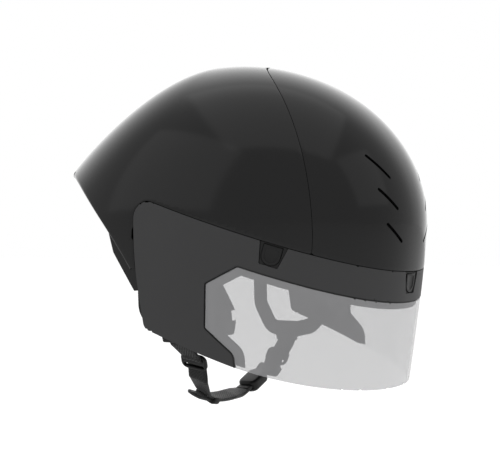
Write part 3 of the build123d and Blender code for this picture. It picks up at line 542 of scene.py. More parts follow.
@dataclass
class SideView:
    """The outlines of the shells and the visor in the side view, in millimetres."""

    brim_front: Point2 = (-121.0, -8.8)
    head_pitch: float = 17.9
    far: float = 260.0
    seam: tuple[Point2, ...] = ((-5.0, 139.8), (-68.0, 83.0), (-84.0, 3.15))
    rim: tuple[Point2, ...] = (
        (160.0, 58.5),
        (111.4, 55.5),
        (82.1, 37.4),
        (58.0, 13.6),
        (37.8, -12.8),
        (24.0, -34.0),
    )
    visor_back_y: float = 37.6
    visor_mid: Point2 = (36.9, -4.0)
    visor_foot: Point2 = (29.6, -46.6)
    lens_start: Point2 = (-36.5, -69.3)
    lens_mid: Point2 = (-77.0, -80.4)
    lens_front: Point2 = (-135.0, -90.5)
    opening: tuple[Point2, ...] = ((-40.6, -3.5), (-18.1, -15.1), (-17.1, -44.6), (-36.2, -61.5))
    back_corner: float = 11.0
    back_bow: float = 230.0
    foot_corner: float = 6.0
    opening_corner: float = 2.0
    toe_corner: float = 7.0
    edge_gap: float = 0.5
    seam_gap: float = 0.25
    seal_width: float = 1.1

    def brim(self, y: float) -> float:
        """Height of the brim line at a place along the helmet."""
        slope = math.tan(math.radians(self.head_pitch))
        return self.brim_front[1] + (y - self.brim_front[0]) * slope

    def metres(self, outline: list[Point2]) -> Distance:
        """Signed distance to an outline given in millimetres."""
        return outline_distance([(y * MM, z * MM) for y, z in outline])

    def visor(self) -> Distance:
        """Distance to the outline of the visor with its lens."""
        back = (self.visor_back_y, self.brim(self.visor_back_y))
        lens = arc_through(self.lens_start, self.lens_mid, self.lens_front)
        points = [(-self.far, self.brim(-self.far)), back, self.visor_mid, self.visor_foot]
        corners = {1: self.back_corner, 2: self.back_bow, 3: self.foot_corner}
        return self.metres(rounded(points + lens + [(-self.far, self.lens_front[1])], corners))

    def lens_opening(self) -> Distance:
        """Distance to the outline of the lens opening, open below and ahead."""
        peak = self.opening[0]
        slope = math.tan(math.radians(self.head_pitch))
        ahead = (-self.far, peak[1] - (self.far + peak[0]) * slope)
        below = [self.lens_start, (self.lens_start[0], -self.far), (-self.far, -self.far)]
        small = self.opening_corner
        corners = {1: small, 2: small, 3: small, 4: self.toe_corner}
        return self.metres(rounded([ahead, *self.opening, *below], corners))

    def above_rim(self) -> Distance:
        """Distance to the outline of everything over the tail rim."""
        points = curve_through(list(self.rim))
        ahead = [(-self.far, self.rim[-1][1]), (-self.far, self.far)]
        return self.metres(points + ahead + [(self.far, self.far), (self.far, self.rim[0][1])])

    def before_seam(self) -> Distance:
        """Distance to the outline of everything ahead of the seam between the shells."""
        points = arc_through(*self.seam)
        below = [(self.seam[2][0], -self.far), (-self.far, -self.far)]
        above = [(-self.far, self.far), (self.seam[0][0], self.far)]
        return self.metres(points + below + above)


@dataclass
class Sheet:
    """A grid of points on a form whose edge points move onto an outline in the side view."""

    place: Place
    inside: Distance
    us: np.ndarray
    vs: np.ndarray
    probe: float = 0.02
    least_speed: float = 1e-9
    least_slope: float = 1e-6
    reach: float = 0.62
    most: float = 0.35
    rounds: int = 5
    on_edge: float = 0.3

    def steps(self) -> tuple[float, float]:
        """The grid's step along each parameter."""
        return abs(self.us[1] - self.us[0]), abs(self.vs[1] - self.vs[0])

    def slopes(self, u: np.ndarray, v: np.ndarray) -> tuple[np.ndarray, ...]:
        """Distance, and its slope and the form's speed along both parameters.

        Args:
            u: The first parameter of each point.
            v: The second parameter of each point.

        Returns:
            Five arrays: the distance, two slopes and two speeds.
        """
        (du, dv), small = self.steps(), self.probe
        here, over, up = self.place(u, v), self.place(u + du * small, v), self.place(u, v - dv * small)
        value = self.inside(here[..., 1], here[..., 2])
        speed_u = np.linalg.norm(over - here, axis=-1) / small + self.least_speed
        speed_v = np.linalg.norm(up - here, axis=-1) / small + self.least_speed
        slope_u = (self.inside(over[..., 1], over[..., 2]) - value) / small / speed_u
        slope_v = (self.inside(up[..., 1], up[..., 2]) - value) / small / speed_v
        return value, slope_u, slope_v, speed_u, speed_v

    def snapped(self) -> tuple[np.ndarray, np.ndarray, np.ndarray]:
        """The points in metres, which of them stay, and which lie on the outline."""
        u, v = np.meshgrid(self.us, self.vs, indexing="ij")
        du, dv = self.steps()
        value, slope_u, slope_v, speed_u, speed_v = self.slopes(u, v)
        steep = np.sqrt(slope_u**2 + slope_v**2) + self.least_slope
        edge = np.abs(value) / steep < self.reach * np.minimum(speed_u, speed_v)
        for _ in range(self.rounds):
            step = np.where(edge, -value / (slope_u**2 + slope_v**2 + self.least_speed), 0)
            u = u + np.clip(step * slope_u / speed_u, -self.most, self.most) * du
            v = v - np.clip(step * slope_v / speed_v, -self.most, self.most) * dv
            value, slope_u, slope_v, speed_u, speed_v = self.slopes(u, v)
        edge &= np.abs(value) < self.on_edge * MM
        return self.place(u, v), edge | (value < 0), edge


def kept_faces(kept: np.ndarray, edge: np.ndarray) -> list[tuple[int, ...]]:
    """Faces of a grid whose corners stay, with triangles where a trimmed edge cuts a corner off.

    Args:
        kept: Which points of the grid stay.
        edge: Which of them lie on the trimmed edge.

    Returns:
        The corner numbers of each face.
    """
    rows, columns = kept.shape
    number = np.arange(rows * columns).reshape(rows, columns)
    faces: list[tuple[int, ...]] = []
    for i in range(rows - 1):
        for j in range(columns - 1):
            corners = [(i, j), (i + 1, j), (i + 1, j + 1), (i, j + 1)]
            good = [int(number[c]) for c in corners if kept[c]]
            all_on_edge = all(edge[c] for c in corners if kept[c])
            if len(good) == len(corners) or (len(good) == 3 and not all_on_edge):
                faces.append(tuple(good))
    return faces


def trimmed(name: str, place: Place, us: np.ndarray, vs: np.ndarray, inside: Distance) -> bpy.types.Object:
    """Make a sheet on a form and trim it to a side view, with its edge points on the outline.

    Args:
        name: The piece's name.
        place: The form, from two parameters to points in metres.
        us: The first parameter's steps.
        vs: The second parameter's steps.
        inside: Signed distance in the side view, negative where the sheet stays.

    Returns:
        The sheet as a piece.
    """
    points, kept, edge = Sheet(place, inside, us, vs).snapped()
    piece = piece_from(name, points.reshape(-1, 3), kept_faces(kept, edge))
    with editing(piece):
        bpy.ops.mesh.delete_loose(use_verts=True, use_edges=True, use_faces=False)
    tidy_mesh(piece)
    return piece


class NodeTree:
    """A material or group being built, with short calls for its nodes."""

    def __init__(self, tree: bpy.types.NodeTree) -> None:
        """Start from an empty tree."""
        self.tree = tree
        tree.nodes.clear()

    def add(self, kind: str, inputs: dict | None = None, **settings: object) -> bpy.types.Node:
        """Add a node.

        Args:
            kind: The node's type without its prefix.
            inputs: Values or sockets for its inputs, by name or number.
            settings: The node's own settings.

        Returns:
            The node.
        """
        node = self.tree.nodes.new("ShaderNode" + kind if not kind.startswith("Node") else kind)
        for key, value in settings.items():
            setattr(node, key, value)
        for key, value in (inputs or {}).items():
            if isinstance(value, bpy.types.NodeSocket):
                self.link(value, node.inputs[key])
            else:
                node.inputs[key].default_value = value
        return node

    def link(self, source: bpy.types.NodeSocket, target: bpy.types.NodeSocket) -> None:
        """Join an output to an input."""
        self.tree.links.new(source, target)

    def math(self, operation: str, *values: object, clamp: bool = False) -> bpy.types.NodeSocket:
        """Add a Math node and return its value."""
        inputs = dict(enumerate(values))
        return self.add("Math", inputs, operation=operation, use_clamp=clamp).outputs[0]

    def blend(self, share: object, low: object, high: object) -> bpy.types.NodeSocket:
        """Mix two colours by a share and return the colour."""
        node = self.add("Mix", {"Factor": share}, data_type="RGBA")
        for socket, value in ((node.inputs[6], low), (node.inputs[7], high)):
            if isinstance(value, bpy.types.NodeSocket):
                self.link(value, socket)
            else:
                socket.default_value = value
        return node.outputs[2]


class Effects:
    """Shader node groups that several finishes use, each made once."""

    # Power of the mask for the painted shade between threads.
    gap_shade_power = 3.0
    cell_slope = 5.0
    cell_dip = 0.3
    dash_share = 0.72

    def __init__(self) -> None:
        """Start with no group made."""
        self.made: dict[str, bpy.types.NodeTree] = {}

    def start(self, name: str, inputs: dict[str, float], outputs: tuple[str, ...]) -> tuple:
        """Begin a group.

        Args:
            name: The group's name.
            inputs: Its number inputs and their defaults.
            outputs: Its number outputs.

        Returns:
            The tree's builder, its input node and its output node.
        """
        tree = bpy.data.node_groups.new(name, "ShaderNodeTree")
        tree.interface.new_socket("Vector", in_out="INPUT", socket_type="NodeSocketVector")
        for key, value in inputs.items():
            socket = tree.interface.new_socket(key, in_out="INPUT", socket_type="NodeSocketFloat")
            socket.default_value = value
        for key in outputs:
            tree.interface.new_socket(key, in_out="OUTPUT", socket_type="NodeSocketFloat")
        self.made[name] = tree
        build = NodeTree(tree)
        return build, build.add("NodeGroupInput"), build.add("NodeGroupOutput")

    def use(self, build: NodeTree, name: str, vector: object, **values: float) -> bpy.types.Node:
        """Place a group in a material.

        Args:
            build: The material's builder.
            name: The group's name.
            vector: The socket with the place on the surface.
            values: The group's own numbers.

        Returns:
            The group's node.
        """
        if name not in self.made:
            getattr(self, name)()
        node = build.add("Group", node_tree=self.made[name])
        build.link(vector, node.inputs["Vector"])
        for key, value in values.items():
            node.inputs[key.replace("_", " ")].default_value = value
        return node

    def clouds(self) -> None:
        """Broad soft blotches and fine grain, both from 0 to 1."""
        build, given, out = self.start(
            "clouds", {"Broad Scale": 20.0, "Grain Scale": 900.0}, ("Broad", "Grain")
        )
        for word, detail in (("Broad", 4.0), ("Grain", 2.0)):
            scale = given.outputs[f"{word} Scale"]
            inputs = {"Vector": given.outputs["Vector"], "Scale": scale, "Detail": detail}
            noise = build.add("TexNoise", inputs)
            build.link(noise.outputs[0], out.inputs[word])

    def weave(self) -> None:
        """Plain weave on a strip's own map: height, and a mask of the gaps between threads for painted shade.
        """
        build, given, out = self.start("weave", {"Across": 900.0, "Along": 900.0}, ("Height", "Gaps"))
        parts = build.add("SeparateXYZ", {0: given.outputs["Vector"]})
        along = build.math("MULTIPLY", parts.outputs[0], given.outputs["Along"])
        across = build.math("MULTIPLY", parts.outputs[1], given.outputs["Across"])
        wave_a = build.math("ABSOLUTE", build.math("SINE", along))
        wave_b = build.math("ABSOLUTE", build.math("SINE", across))
        turned = build.math("MULTIPLY", build.math("SINE", along), build.math("SINE", across))
        over = build.math("GREATER_THAN", turned, 0.0)
        height = build.add("Mix", {"Factor": over, 2: wave_a, 3: wave_b}, data_type="FLOAT")
        gaps = build.math("SUBTRACT", 1.0, build.math("MINIMUM", wave_a, wave_b), clamp=True)
        build.link(height.outputs[0], out.inputs["Height"])
        build.link(build.math("POWER", gaps, self.gap_shade_power), out.inputs["Gaps"])

    def cells(self) -> None:
        """Rounded cells with dark joints, for leather grain and foam beads."""
        build, given, out = self.start("cells", {"Scale": 600.0}, ("Height", "Joints"))
        inputs = {key: given.outputs[key] for key in ("Vector", "Scale")}
        cells = build.add("TexVoronoi", inputs)
        edge = build.add("TexVoronoi", inputs, feature="DISTANCE_TO_EDGE")
        rise = build.math("MULTIPLY", edge.outputs[0], self.cell_slope, clamp=True)
        joints = build.math("SUBTRACT", 1.0, rise, clamp=True)
        dip = build.math("MULTIPLY", cells.outputs[0], self.cell_dip)
        height = build.math("SUBTRACT", rise, dip)
        build.link(height, out.inputs["Height"])
        build.link(joints, out.inputs["Joints"])

    def stitches(self) -> None:
        """Two rows of stitches along a strip's own map, as a mask from 0 to 1."""
        build, given, out = self.start(
            "stitches", {"Row": 0.0045, "Pitch": 0.003, "Thick": 0.0004}, ("Mask",)
        )
        parts = build.add("SeparateXYZ", {0: given.outputs["Vector"]})
        off = build.math("SUBTRACT", build.math("ABSOLUTE", parts.outputs[1]), given.outputs["Row"])
        near = build.math("LESS_THAN", build.math("ABSOLUTE", off), given.outputs["Thick"])
        run = build.math("FRACT", build.math("DIVIDE", parts.outputs[0], given.outputs["Pitch"]))
        dash = build.math("LESS_THAN", run, self.dash_share)
        build.link(build.math("MULTIPLY", near, dash), out.inputs["Mask"])


EFFECTS = Effects()


def linear(grey: float, cool: float = 1.02) -> tuple[float, float, float, float]:
    """A slightly cool grey from its brightness on the screen, 0 to 1."""
    value = grey / 12.92 if grey < 0.04 else ((grey + 0.055) / 1.055) ** 2.4
    return (value, value, value * cool, 1.0)


@dataclass(frozen=True)
class Finish:
    """A painted, moulded or rubber surface with soft clouding and fine grain."""

    name: str
    dark: float
    light: float
    rough: float
    rough_spread: float = 0.06
    coat: float = 0.0
    coat_rough: float = 0.03
    grain_scale: float = 1500.0
    grain_height: float = 0.00001
    specular: float = 0.5
    metallic: float = 0.0

    def start(self) -> tuple[bpy.types.Material, NodeTree, bpy.types.Node]:
        """Make the material with its shader and constant values."""
        material = bpy.data.materials.new(self.name)
        material.use_nodes = True
        build = NodeTree(material.node_tree)
        shader = build.add("BsdfPrincipled")
        shader.inputs["Coat Weight"].default_value = self.coat
        shader.inputs["Coat Roughness"].default_value = self.coat_rough
        shader.inputs["Specular IOR Level"].default_value = self.specular
        shader.inputs["Metallic"].default_value = self.metallic
        out = build.add("OutputMaterial")
        build.link(shader.outputs[0], out.inputs[0])
        return material, build, shader

    def clouds(self, build: NodeTree) -> bpy.types.Node:
        """Place the clouds on the piece's own coordinates."""
        place = build.add("TexCoord").outputs["Object"]
        return EFFECTS.use(build, "clouds", place, Grain_Scale=self.grain_scale)

    def roughen(
        self, build: NodeTree, shader: bpy.types.Node, share: bpy.types.NodeSocket, least: float
    ) -> None:
        """Give the shader a roughness over a least value, more where a share from 0 to 1 is high."""
        spread = build.math("MULTIPLY", share, self.rough_spread)
        build.link(build.math("ADD", spread, least), shader.inputs["Roughness"])

    def emboss(
        self, build: NodeTree, shader: bpy.types.Node, height: bpy.types.NodeSocket, distance: float
    ) -> None:
        """Give the shader the bumps of a height from 0 to 1 over a distance in metres."""
        bump = build.add("Bump", {"Distance": distance, "Height": height})
        build.link(bump.outputs[0], shader.inputs["Normal"])

    def make(self) -> bpy.types.Material:
        """Build the material."""
        material, build, shader = self.start()
        clouds = self.clouds(build)
        colour = build.blend(clouds.outputs["Broad"], linear(self.dark), linear(self.light))
        build.link(colour, shader.inputs["Base Color"])
        self.roughen(build, shader, clouds.outputs["Broad"], self.rough - self.rough_spread / 2)
        self.emboss(build, shader, clouds.outputs["Grain"], self.grain_height)
        return material


@dataclass(frozen=True)
class CellFinish(Finish):
    """A surface of rounded cells, such as moulded foam beads or leather grain."""

    cell_scale: float = 350.0
    cell_height: float = 0.0001
    joint_share: float = 0.6
    joint_dark: float = 0.6

    def make(self) -> bpy.types.Material:
        """Build the material."""
        material, build, shader = self.start()
        place = build.add("TexCoord").outputs["Object"]
        cells = EFFECTS.use(build, "cells", place, Scale=self.cell_scale)
        clouds = self.clouds(build)
        colour = build.blend(clouds.outputs["Broad"], linear(self.light), linear(self.dark))
        joints = build.math("MULTIPLY", cells.outputs["Joints"], self.joint_share)
        colour = build.blend(joints, colour, linear(self.dark * self.joint_dark))
        build.link(colour, shader.inputs["Base Color"])
        self.roughen(build, shader, clouds.outputs["Broad"], self.rough)
        self.emboss(build, shader, cells.outputs["Height"], self.cell_height)
        return material


@dataclass(frozen=True)
class WovenFinish(Finish):
    """Cloth or webbing whose threads follow the piece's own map, with painted shade in the gaps between
    threads and stitched rows if wanted.
    """

    grain_scale: float = 900.0
    across: float = 2500.0
    along: float = 2500.0
    weave_height: float = 0.0002
    # Painted shade in the gaps between threads: its share and how dark it is.
    gap_shade_share: float = 0.7
    gap_shade_dark: float = 0.4
    sheen: float = 0.3
    sheen_rough: float = 0.45
    stitch_row: float = 0.0
    stitch_light: float = 1.6

    def make(self) -> bpy.types.Material:
        """Build the material."""
        material, build, shader = self.start()
        shader.inputs["Sheen Weight"].default_value = self.sheen
        shader.inputs["Sheen Roughness"].default_value = self.sheen_rough
        place = build.add("UVMap").outputs[0]
        weave = EFFECTS.use(build, "weave", place, Across=self.across, Along=self.along)
        clouds = self.clouds(build)
        colour = build.blend(clouds.outputs["Broad"], linear(self.dark), linear(self.light))
        # Painted shade: the base colour is darkened in the gaps between threads.
        gaps = build.math("MULTIPLY", weave.outputs["Gaps"], self.gap_shade_share)
        colour = build.blend(gaps, colour, linear(self.dark * self.gap_shade_dark))
        height = weave.outputs["Height"]
        if self.stitch_row:
            stitches = EFFECTS.use(build, "stitches", place, Row=self.stitch_row)
            colour = build.blend(stitches.outputs["Mask"], colour, linear(self.light * self.stitch_light))
            height = build.math("ADD", height, stitches.outputs["Mask"])
        build.link(colour, shader.inputs["Base Color"])
        self.roughen(build, shader, clouds.outputs["Grain"], self.rough)
        self.emboss(build, shader, height, self.weave_height)
        return material


@dataclass(frozen=True)
class LensFinish(Finish):
    """Smoke sheet: its cover face-on, at a grazing angle and seen from behind, from 0 to 1."""

    clear: float = 0.2
    grazing: float = 0.75
    behind: float = 0.1
    facing_blend: float = 0.25
    facing_power: float = 2.5

    def make(self) -> bpy.types.Material:
        """Build the material."""
        material, build, shader = self.start()
        clouds = self.clouds(build)
        colour = build.blend(clouds.outputs["Broad"], linear(self.dark), linear(self.light))
        build.link(colour, shader.inputs["Base Color"])
        self.roughen(build, shader, clouds.outputs["Broad"], self.rough)
        facing = build.add("LayerWeight", {"Blend": self.facing_blend}).outputs["Facing"]
        edge = build.math("POWER", facing, self.facing_power)
        alpha = build.math("ADD", build.math("MULTIPLY", edge, self.grazing - self.clear), self.clear)
        back = build.add("NewGeometry").outputs["Backfacing"]
        alpha = build.add("Mix", {"Factor": back, 2: alpha, 3: self.behind}, data_type="FLOAT")
        build.link(alpha.outputs[0], shader.inputs["Alpha"])
        material.surface_render_method = "BLENDED"
        return material


GLOSS_SHELL = Finish("gloss_shell", 0.045, 0.06, 0.14, rough_spread=0.02, specular=0.36, grain_height=0.0)
SATIN_SKIN = Finish("satin_skin", 0.06, 0.09, 0.5, specular=0.35, grain_height=0.00003)
VISOR_MATTE = Finish("visor_matte", 0.215, 0.23, 0.5, specular=0.35, grain_height=0.00002)
BLACK_PLASTIC = Finish("black_plastic", 0.06, 0.09, 0.45, specular=0.3, grain_height=0.00004)
CAP_PLASTIC = Finish("cap_plastic", 0.07, 0.10, 0.4, specular=0.3, grain_height=0.00003)
SEAL_RUBBER = Finish("seal_rubber", 0.05, 0.07, 0.6)
BEZEL_GREY = Finish("bezel_grey", 0.13, 0.16, 0.45)
DIAL_RUBBER = Finish("dial_rubber", 0.12, 0.16, 0.65, grain_height=0.00006)
PIN_STEEL = Finish("pin_steel", 0.30, 0.36, 0.35, metallic=1.0)
MAGNET_NICKEL = Finish("magnet_nickel", 0.7, 0.78, 0.2, metallic=1.0)
LINER_FOAM = CellFinish("liner_foam", 0.12, 0.18, 0.7, cell_scale=320.0, cell_height=0.0002)
CHIN_LEATHER = WovenFinish(
    "chin_leather", 0.10, 0.15, 0.5, sheen=0.15, stitch_row=0.0048, weave_height=0.00012
)
WEBBING = WovenFinish("webbing", 0.05, 0.09, 0.6, specular=0.3, sheen=0.15, weave_height=0.0002)
PAD_CLOTH = WovenFinish("pad_cloth", 0.13, 0.18, 0.75, sheen=0.5, across=1800.0, along=1800.0)
SMOKE_LENS = LensFinish(
    "smoke_lens", 0.68, 0.7, 0.05, specular=0.4, rough_spread=0.01, clear=0.62, grazing=0.85, behind=0.04
)
CLEAR_FACE = LensFinish(
    "clear_face", 0.9, 0.92, 0.04, rough_spread=0.01, clear=0.06, grazing=0.3, behind=0.02
)


@dataclass
class Shells:
    """The glossy front and rear shells; the satin skin under the visor stays a CAD node."""

    form: HelmetForm
    view: SideView
    wall: float = 2.2
    edge_round: float = 0.6
    rim_round: float = 0.9
    columns: int = 420
    rows: int = 130
    lowest_rise: float = -0.55
    roll_large: float = 4.6
    roll_small: float = 1.5
    roll_from_y: float = 62.0
    roll_to_y: float = 140.0
    roll_turn: float = 105.0
    roll_steps: int = 8
    slit_width: float = 2.2
    slit_points: int = 24
    slit_ahead: float = 1.2
    slit_reach: float = 1.1
    slit_tops: tuple[Point2, ...] = ((36.3, 67.5), (35.8, 45.5), (31.8, 22.8))
    slit_feet: tuple[Point2, ...] = ((24.3, 53.7), (22.6, 33.3), (17.9, 11.8))

    def steps(self) -> tuple[np.ndarray, np.ndarray]:
        """Turns round the helmet and rises from the rim to the crown."""
        turns = np.linspace(-math.pi, math.pi, self.columns + 1)
        return turns, np.linspace(self.lowest_rise, math.pi / 2, self.rows)

    def thicken(self, piece: bpy.types.Object, round_off: float) -> None:
        """Give a trimmed sheet its wall and rounded edges."""
        finish_modifier(piece, "SOLIDIFY", thickness=self.wall * MM, offset=-1.0, use_even_offset=False)
        round_edges(piece, round_off, SHARP_TURN)

    def slit_cutter(self, top: Point2, foot: Point2, side: Side) -> bpy.types.Object:
        """Make a round-ended bar that cuts one brow slit."""
        high = Vector((side.value * top[0], 0, top[1])) * MM
        low = Vector((side.value * foot[0], 0, foot[1])) * MM
        across = (high - low).normalized()
        beside = Vector((across.z, 0, -across.x))
        reach = self.slit_width / 2 * MM
        deselect()
        bpy.ops.mesh.primitive_circle_add(vertices=self.slit_points, radius=reach, fill_type="NGON")
        bar = bpy.context.object
        start = -self.form.front_reach * self.slit_ahead * MM
        for vertex in bar.data.vertices:
            turn = math.atan2(vertex.co.y, vertex.co.x)
            end = high if math.cos(turn) > 0 else low
            spot = end + across * math.cos(turn) * reach + beside * math.sin(turn) * reach
            vertex.co = (spot.x, start, spot.z)
        thickness = self.form.front_reach * self.slit_reach * MM
        finish_modifier(bar, "SOLIDIFY", thickness=thickness, offset=0.0)
        tidy_mesh(bar)
        return bar

    def front(self) -> bpy.types.Object:
        """Build the front shell; its brow slits are cut afterwards."""
        above, before, visor = self.view.above_rim(), self.view.before_seam(), self.view.visor()
        gap = self.view.edge_gap * MM

        def inside(y: np.ndarray, z: np.ndarray) -> np.ndarray:
            """Distance to the front shell's side view."""
            return np.maximum(np.maximum(above(y, z), before(y, z)), gap - visor(y, z))

        piece = trimmed("front_shell_skin", self.form.dome, *self.steps(), inside)
        self.thicken(piece, self.edge_round)
        return piece

    def rear(self) -> bpy.types.Object:
        """Build the rear shell with the tail and its rolled rim."""
        above, before, visor = self.view.above_rim(), self.view.before_seam(), self.view.visor()
        gap, seam = self.view.edge_gap * MM, self.view.seam_gap * MM

        def inside(y: np.ndarray, z: np.ndarray) -> np.ndarray:
            """Distance to the rear shell's side view."""
            behind = np.maximum(seam - before(y, z), gap - visor(y, z))
            return np.maximum(above(y, z) + self.roll(y), behind)

        piece = trimmed("rear_shell_skin", self.form.dome, *self.steps(), inside)
        self.roll_rim(piece, lambda y, z: above(y, z) + self.roll(y))
        self.thicken(piece, self.rim_round)
        return piece

    def roll(self, y: np.ndarray) -> np.ndarray:
        """Radius in metres of the rolled rim at a place along the helmet."""
        share = np.clip((y / MM - self.roll_from_y) / (self.roll_to_y - self.roll_from_y), 0, 1)
        return (self.roll_small + (self.roll_large - self.roll_small) * share) * MM

    def roll_rim(self, piece: bpy.types.Object, distance: Distance) -> None:
        """Turn the open edge of the tail inwards in a round lip.

        Args:
            piece: The shell's outer sheet.
            distance: Signed distance to the sheet's rim in the side view.
        """
        mesh = bmesh.new()
        mesh.from_mesh(piece.data)
        mesh.normal_update()
        rim = []
        for edge in mesh.edges:
            if edge.is_boundary:
                ends = np.array([vertex.co for vertex in edge.verts])
                if np.abs(distance(ends[:, 1], ends[:, 2])).max() < self.roll_small * MM / 3:
                    rim.append(edge)
        ways: dict[bmesh.types.BMVert, Vector] = {}
        for edge in rim:
            run = (edge.verts[1].co - edge.verts[0].co).normalized()
            out = run.cross(edge.link_faces[0].normal)
            middle = (edge.verts[0].co + edge.verts[1].co) / 2
            if out.dot(middle - edge.link_faces[0].calc_center_median()) < 0:
                out = -out
            for vertex in edge.verts:
                ways[vertex] = ways.get(vertex, Vector()) + out
        rings = {vertex: [vertex] for vertex in ways}
        for vertex, way in ways.items():
            radius = float(self.roll(np.array(vertex.co.y)))
            out = (way - vertex.normal * way.dot(vertex.normal)).normalized()
            for step in range(1, self.roll_steps + 1):
                turn = math.radians(self.roll_turn) * step / self.roll_steps
                inward = vertex.normal * radius * (1 - math.cos(turn))
                rings[vertex].append(mesh.verts.new(vertex.co + out * radius * math.sin(turn) - inward))
        for edge in rim:
            first, last = edge.link_loops[0].vert, edge.link_loops[0].link_loop_next.vert
            for step in range(self.roll_steps):
                low, high = rings[last], rings[first]
                mesh.faces.new((low[step], high[step], high[step + 1], low[step + 1]))
        mesh.to_mesh(piece.data)
        mesh.free()
        tidy_mesh(piece)

    def cut_slits(self, piece: bpy.types.Object) -> None:
        """Cut the brow slits."""
        for side in Side:
            for top, foot in zip(self.slit_tops, self.slit_feet):
                cut(piece, self.slit_cutter(top, foot, side))
        smooth(piece, SMOOTH_TURN)

    def build(self) -> None:
        """Build both shells and set them on the frame."""
        front = self.front()
        self.cut_slits(front)
        for piece, node in ((front, "front_shell"), (self.rear(), "rear_shell")):
            dress(piece, GLOSS_SHELL.make())
            mount(piece, node, "shell")


@dataclass
class Catches:
    """The windows at the brim and the caps in them, each with its round tongue."""

    form: HelmetForm
    view: SideView
    top: float = 19.0
    foot: float = 12.6
    tall: float = 14.6
    side_y: float = -61.5
    window_corner: float = 0.8
    clear: float = 0.3
    sunk: float = 1.0
    back: float = 3.7
    tongue_wide: float = 12.4
    tongue_tall: float = 12.6
    tongue_drop: float = 1.3
    tongue_sunk: float = 0.45
    groove: float = 0.45
    groove_deep: float = 2.2
    moat_drop: float = 0.2
    dish_inset: float = 1.8
    dish_deep: float = 0.35
    edge_round: float = 0.25
    tongue_steps: int = 25
    lie_step: float = 0.01

    def lie(self, catch: Catch) -> Lie:
        """Find where a catch lies on the visor, with its up square to the brim.

        Args:
            catch: Which of the three catches.

        Returns:
            The catch's place and its three ways.
        """
        side = catch.value
        catch_y = self.side_y if side else self.view.brim_front[0]
        height = self.view.brim(catch_y) - self.tall / 2
        rise = np.array((height - self.form.widest_height) / self.form.dome_height)
        ahead = (self.form.crown_y - catch_y) / float(self.form.sizes(rise, 0.0)[1]) if side else 1.0
        run = side * math.acos(min(1.0, ahead ** (self.form.front_power / 2))) / (math.pi / 2)
        step = self.lie_step
        at, left, right, above = (
            Vector(self.form.wrap(np.array(run + k), rise + j))
            for k, j in ((0, 0), (step, 0), (-step, 0), (0, step))
        )
        beside, over = left - right, above - at
        out = beside.cross(over).normalized()
        if out.y > 0:
            out = -out
        slope = math.tan(math.radians(self.view.head_pitch))
        across = out.cross(Vector((0, -slope, 1))).normalized()
        up = out.cross(across)
        if up.z < 0:
            across, up = -across, -up
        return Lie(at / MM, across, up, up.cross(across) * -1)

    def window(self, clear: float, over: float) -> list[Point2]:
        """Outline of the window, smaller by a clearance and longer at the top."""
        lean = (self.top - self.foot) / 2 / self.tall
        top, foot = self.tall / 2 + over, clear - self.tall / 2
        wide_top = self.top / 2 + over * lean - clear
        wide_foot = self.foot / 2 - clear
        points = [(-wide_foot, foot), (wide_foot, foot), (wide_top, top), (-wide_top, top)]
        return rounded(points, {0: self.window_corner, 1: self.window_corner})

    def tongue(self, grown: float) -> list[Point2]:
        """Outline of the tongue: straight sides over a round foot."""
        top = self.tall / 2 - self.tongue_drop + grown
        half = self.tongue_wide / 2 + grown
        centre = self.tall / 2 - self.tongue_drop - self.tongue_tall + self.tongue_wide / 2
        turns = np.linspace(math.pi, 2 * math.pi, self.tongue_steps)
        arc = [(half * math.cos(t), centre + half * math.sin(t)) for t in turns]
        return [(half, top), (-half, top), *arc[:-1], (half, centre)]

    def cutter(self, catch: Catch) -> bpy.types.Object:
        """Make the block that cuts one window, open at the brim."""
        block = plate("window_block", self.window(0.0, self.tall / 4), self.tall)
        settle(block, self.lie(catch).matrix())
        return block

    def cap(self, catch: Catch) -> bpy.types.Object:
        """Build one cap: a plate in the window, a groove and the dished tongue."""
        lie = self.lie(catch)
        outline = self.window(self.clear, -self.clear)
        base = plate(f"catch_cap_{catch.name.lower()}", outline, self.back - self.sunk)
        settle(base, lie.matrix(-(self.back + self.sunk) / 2))
        moat = plate("moat", self.tongue(self.groove), self.groove_deep)
        settle(moat, lie.matrix(-self.sunk - self.moat_drop))
        cut(base, moat)
        round_edges(base, self.edge_round, SHARP_TURN, 2)
        tongue_thick = self.groove_deep + self.sunk - self.tongue_sunk
        tongue = plate("tongue", self.tongue(0.0), tongue_thick)
        settle(tongue, lie.matrix(-self.tongue_sunk - tongue_thick / 2))
        dish = plate("dish", self.tongue(-self.dish_inset), self.dish_deep * 2)
        settle(dish, lie.matrix(-self.tongue_sunk))
        cut(tongue, dish)
        round_edges(tongue, self.edge_round, SHARP_TURN, 2)
        merge(base, [tongue])
        return base

    def build(self) -> None:
        """Build the three caps and set them on the frame."""
        material = CAP_PLASTIC.make()
        for catch in Catch:
            piece = self.cap(catch)
            dress(piece, material)
            mount(piece, f"magnet_cap_{catch.name.lower()}", "visor")


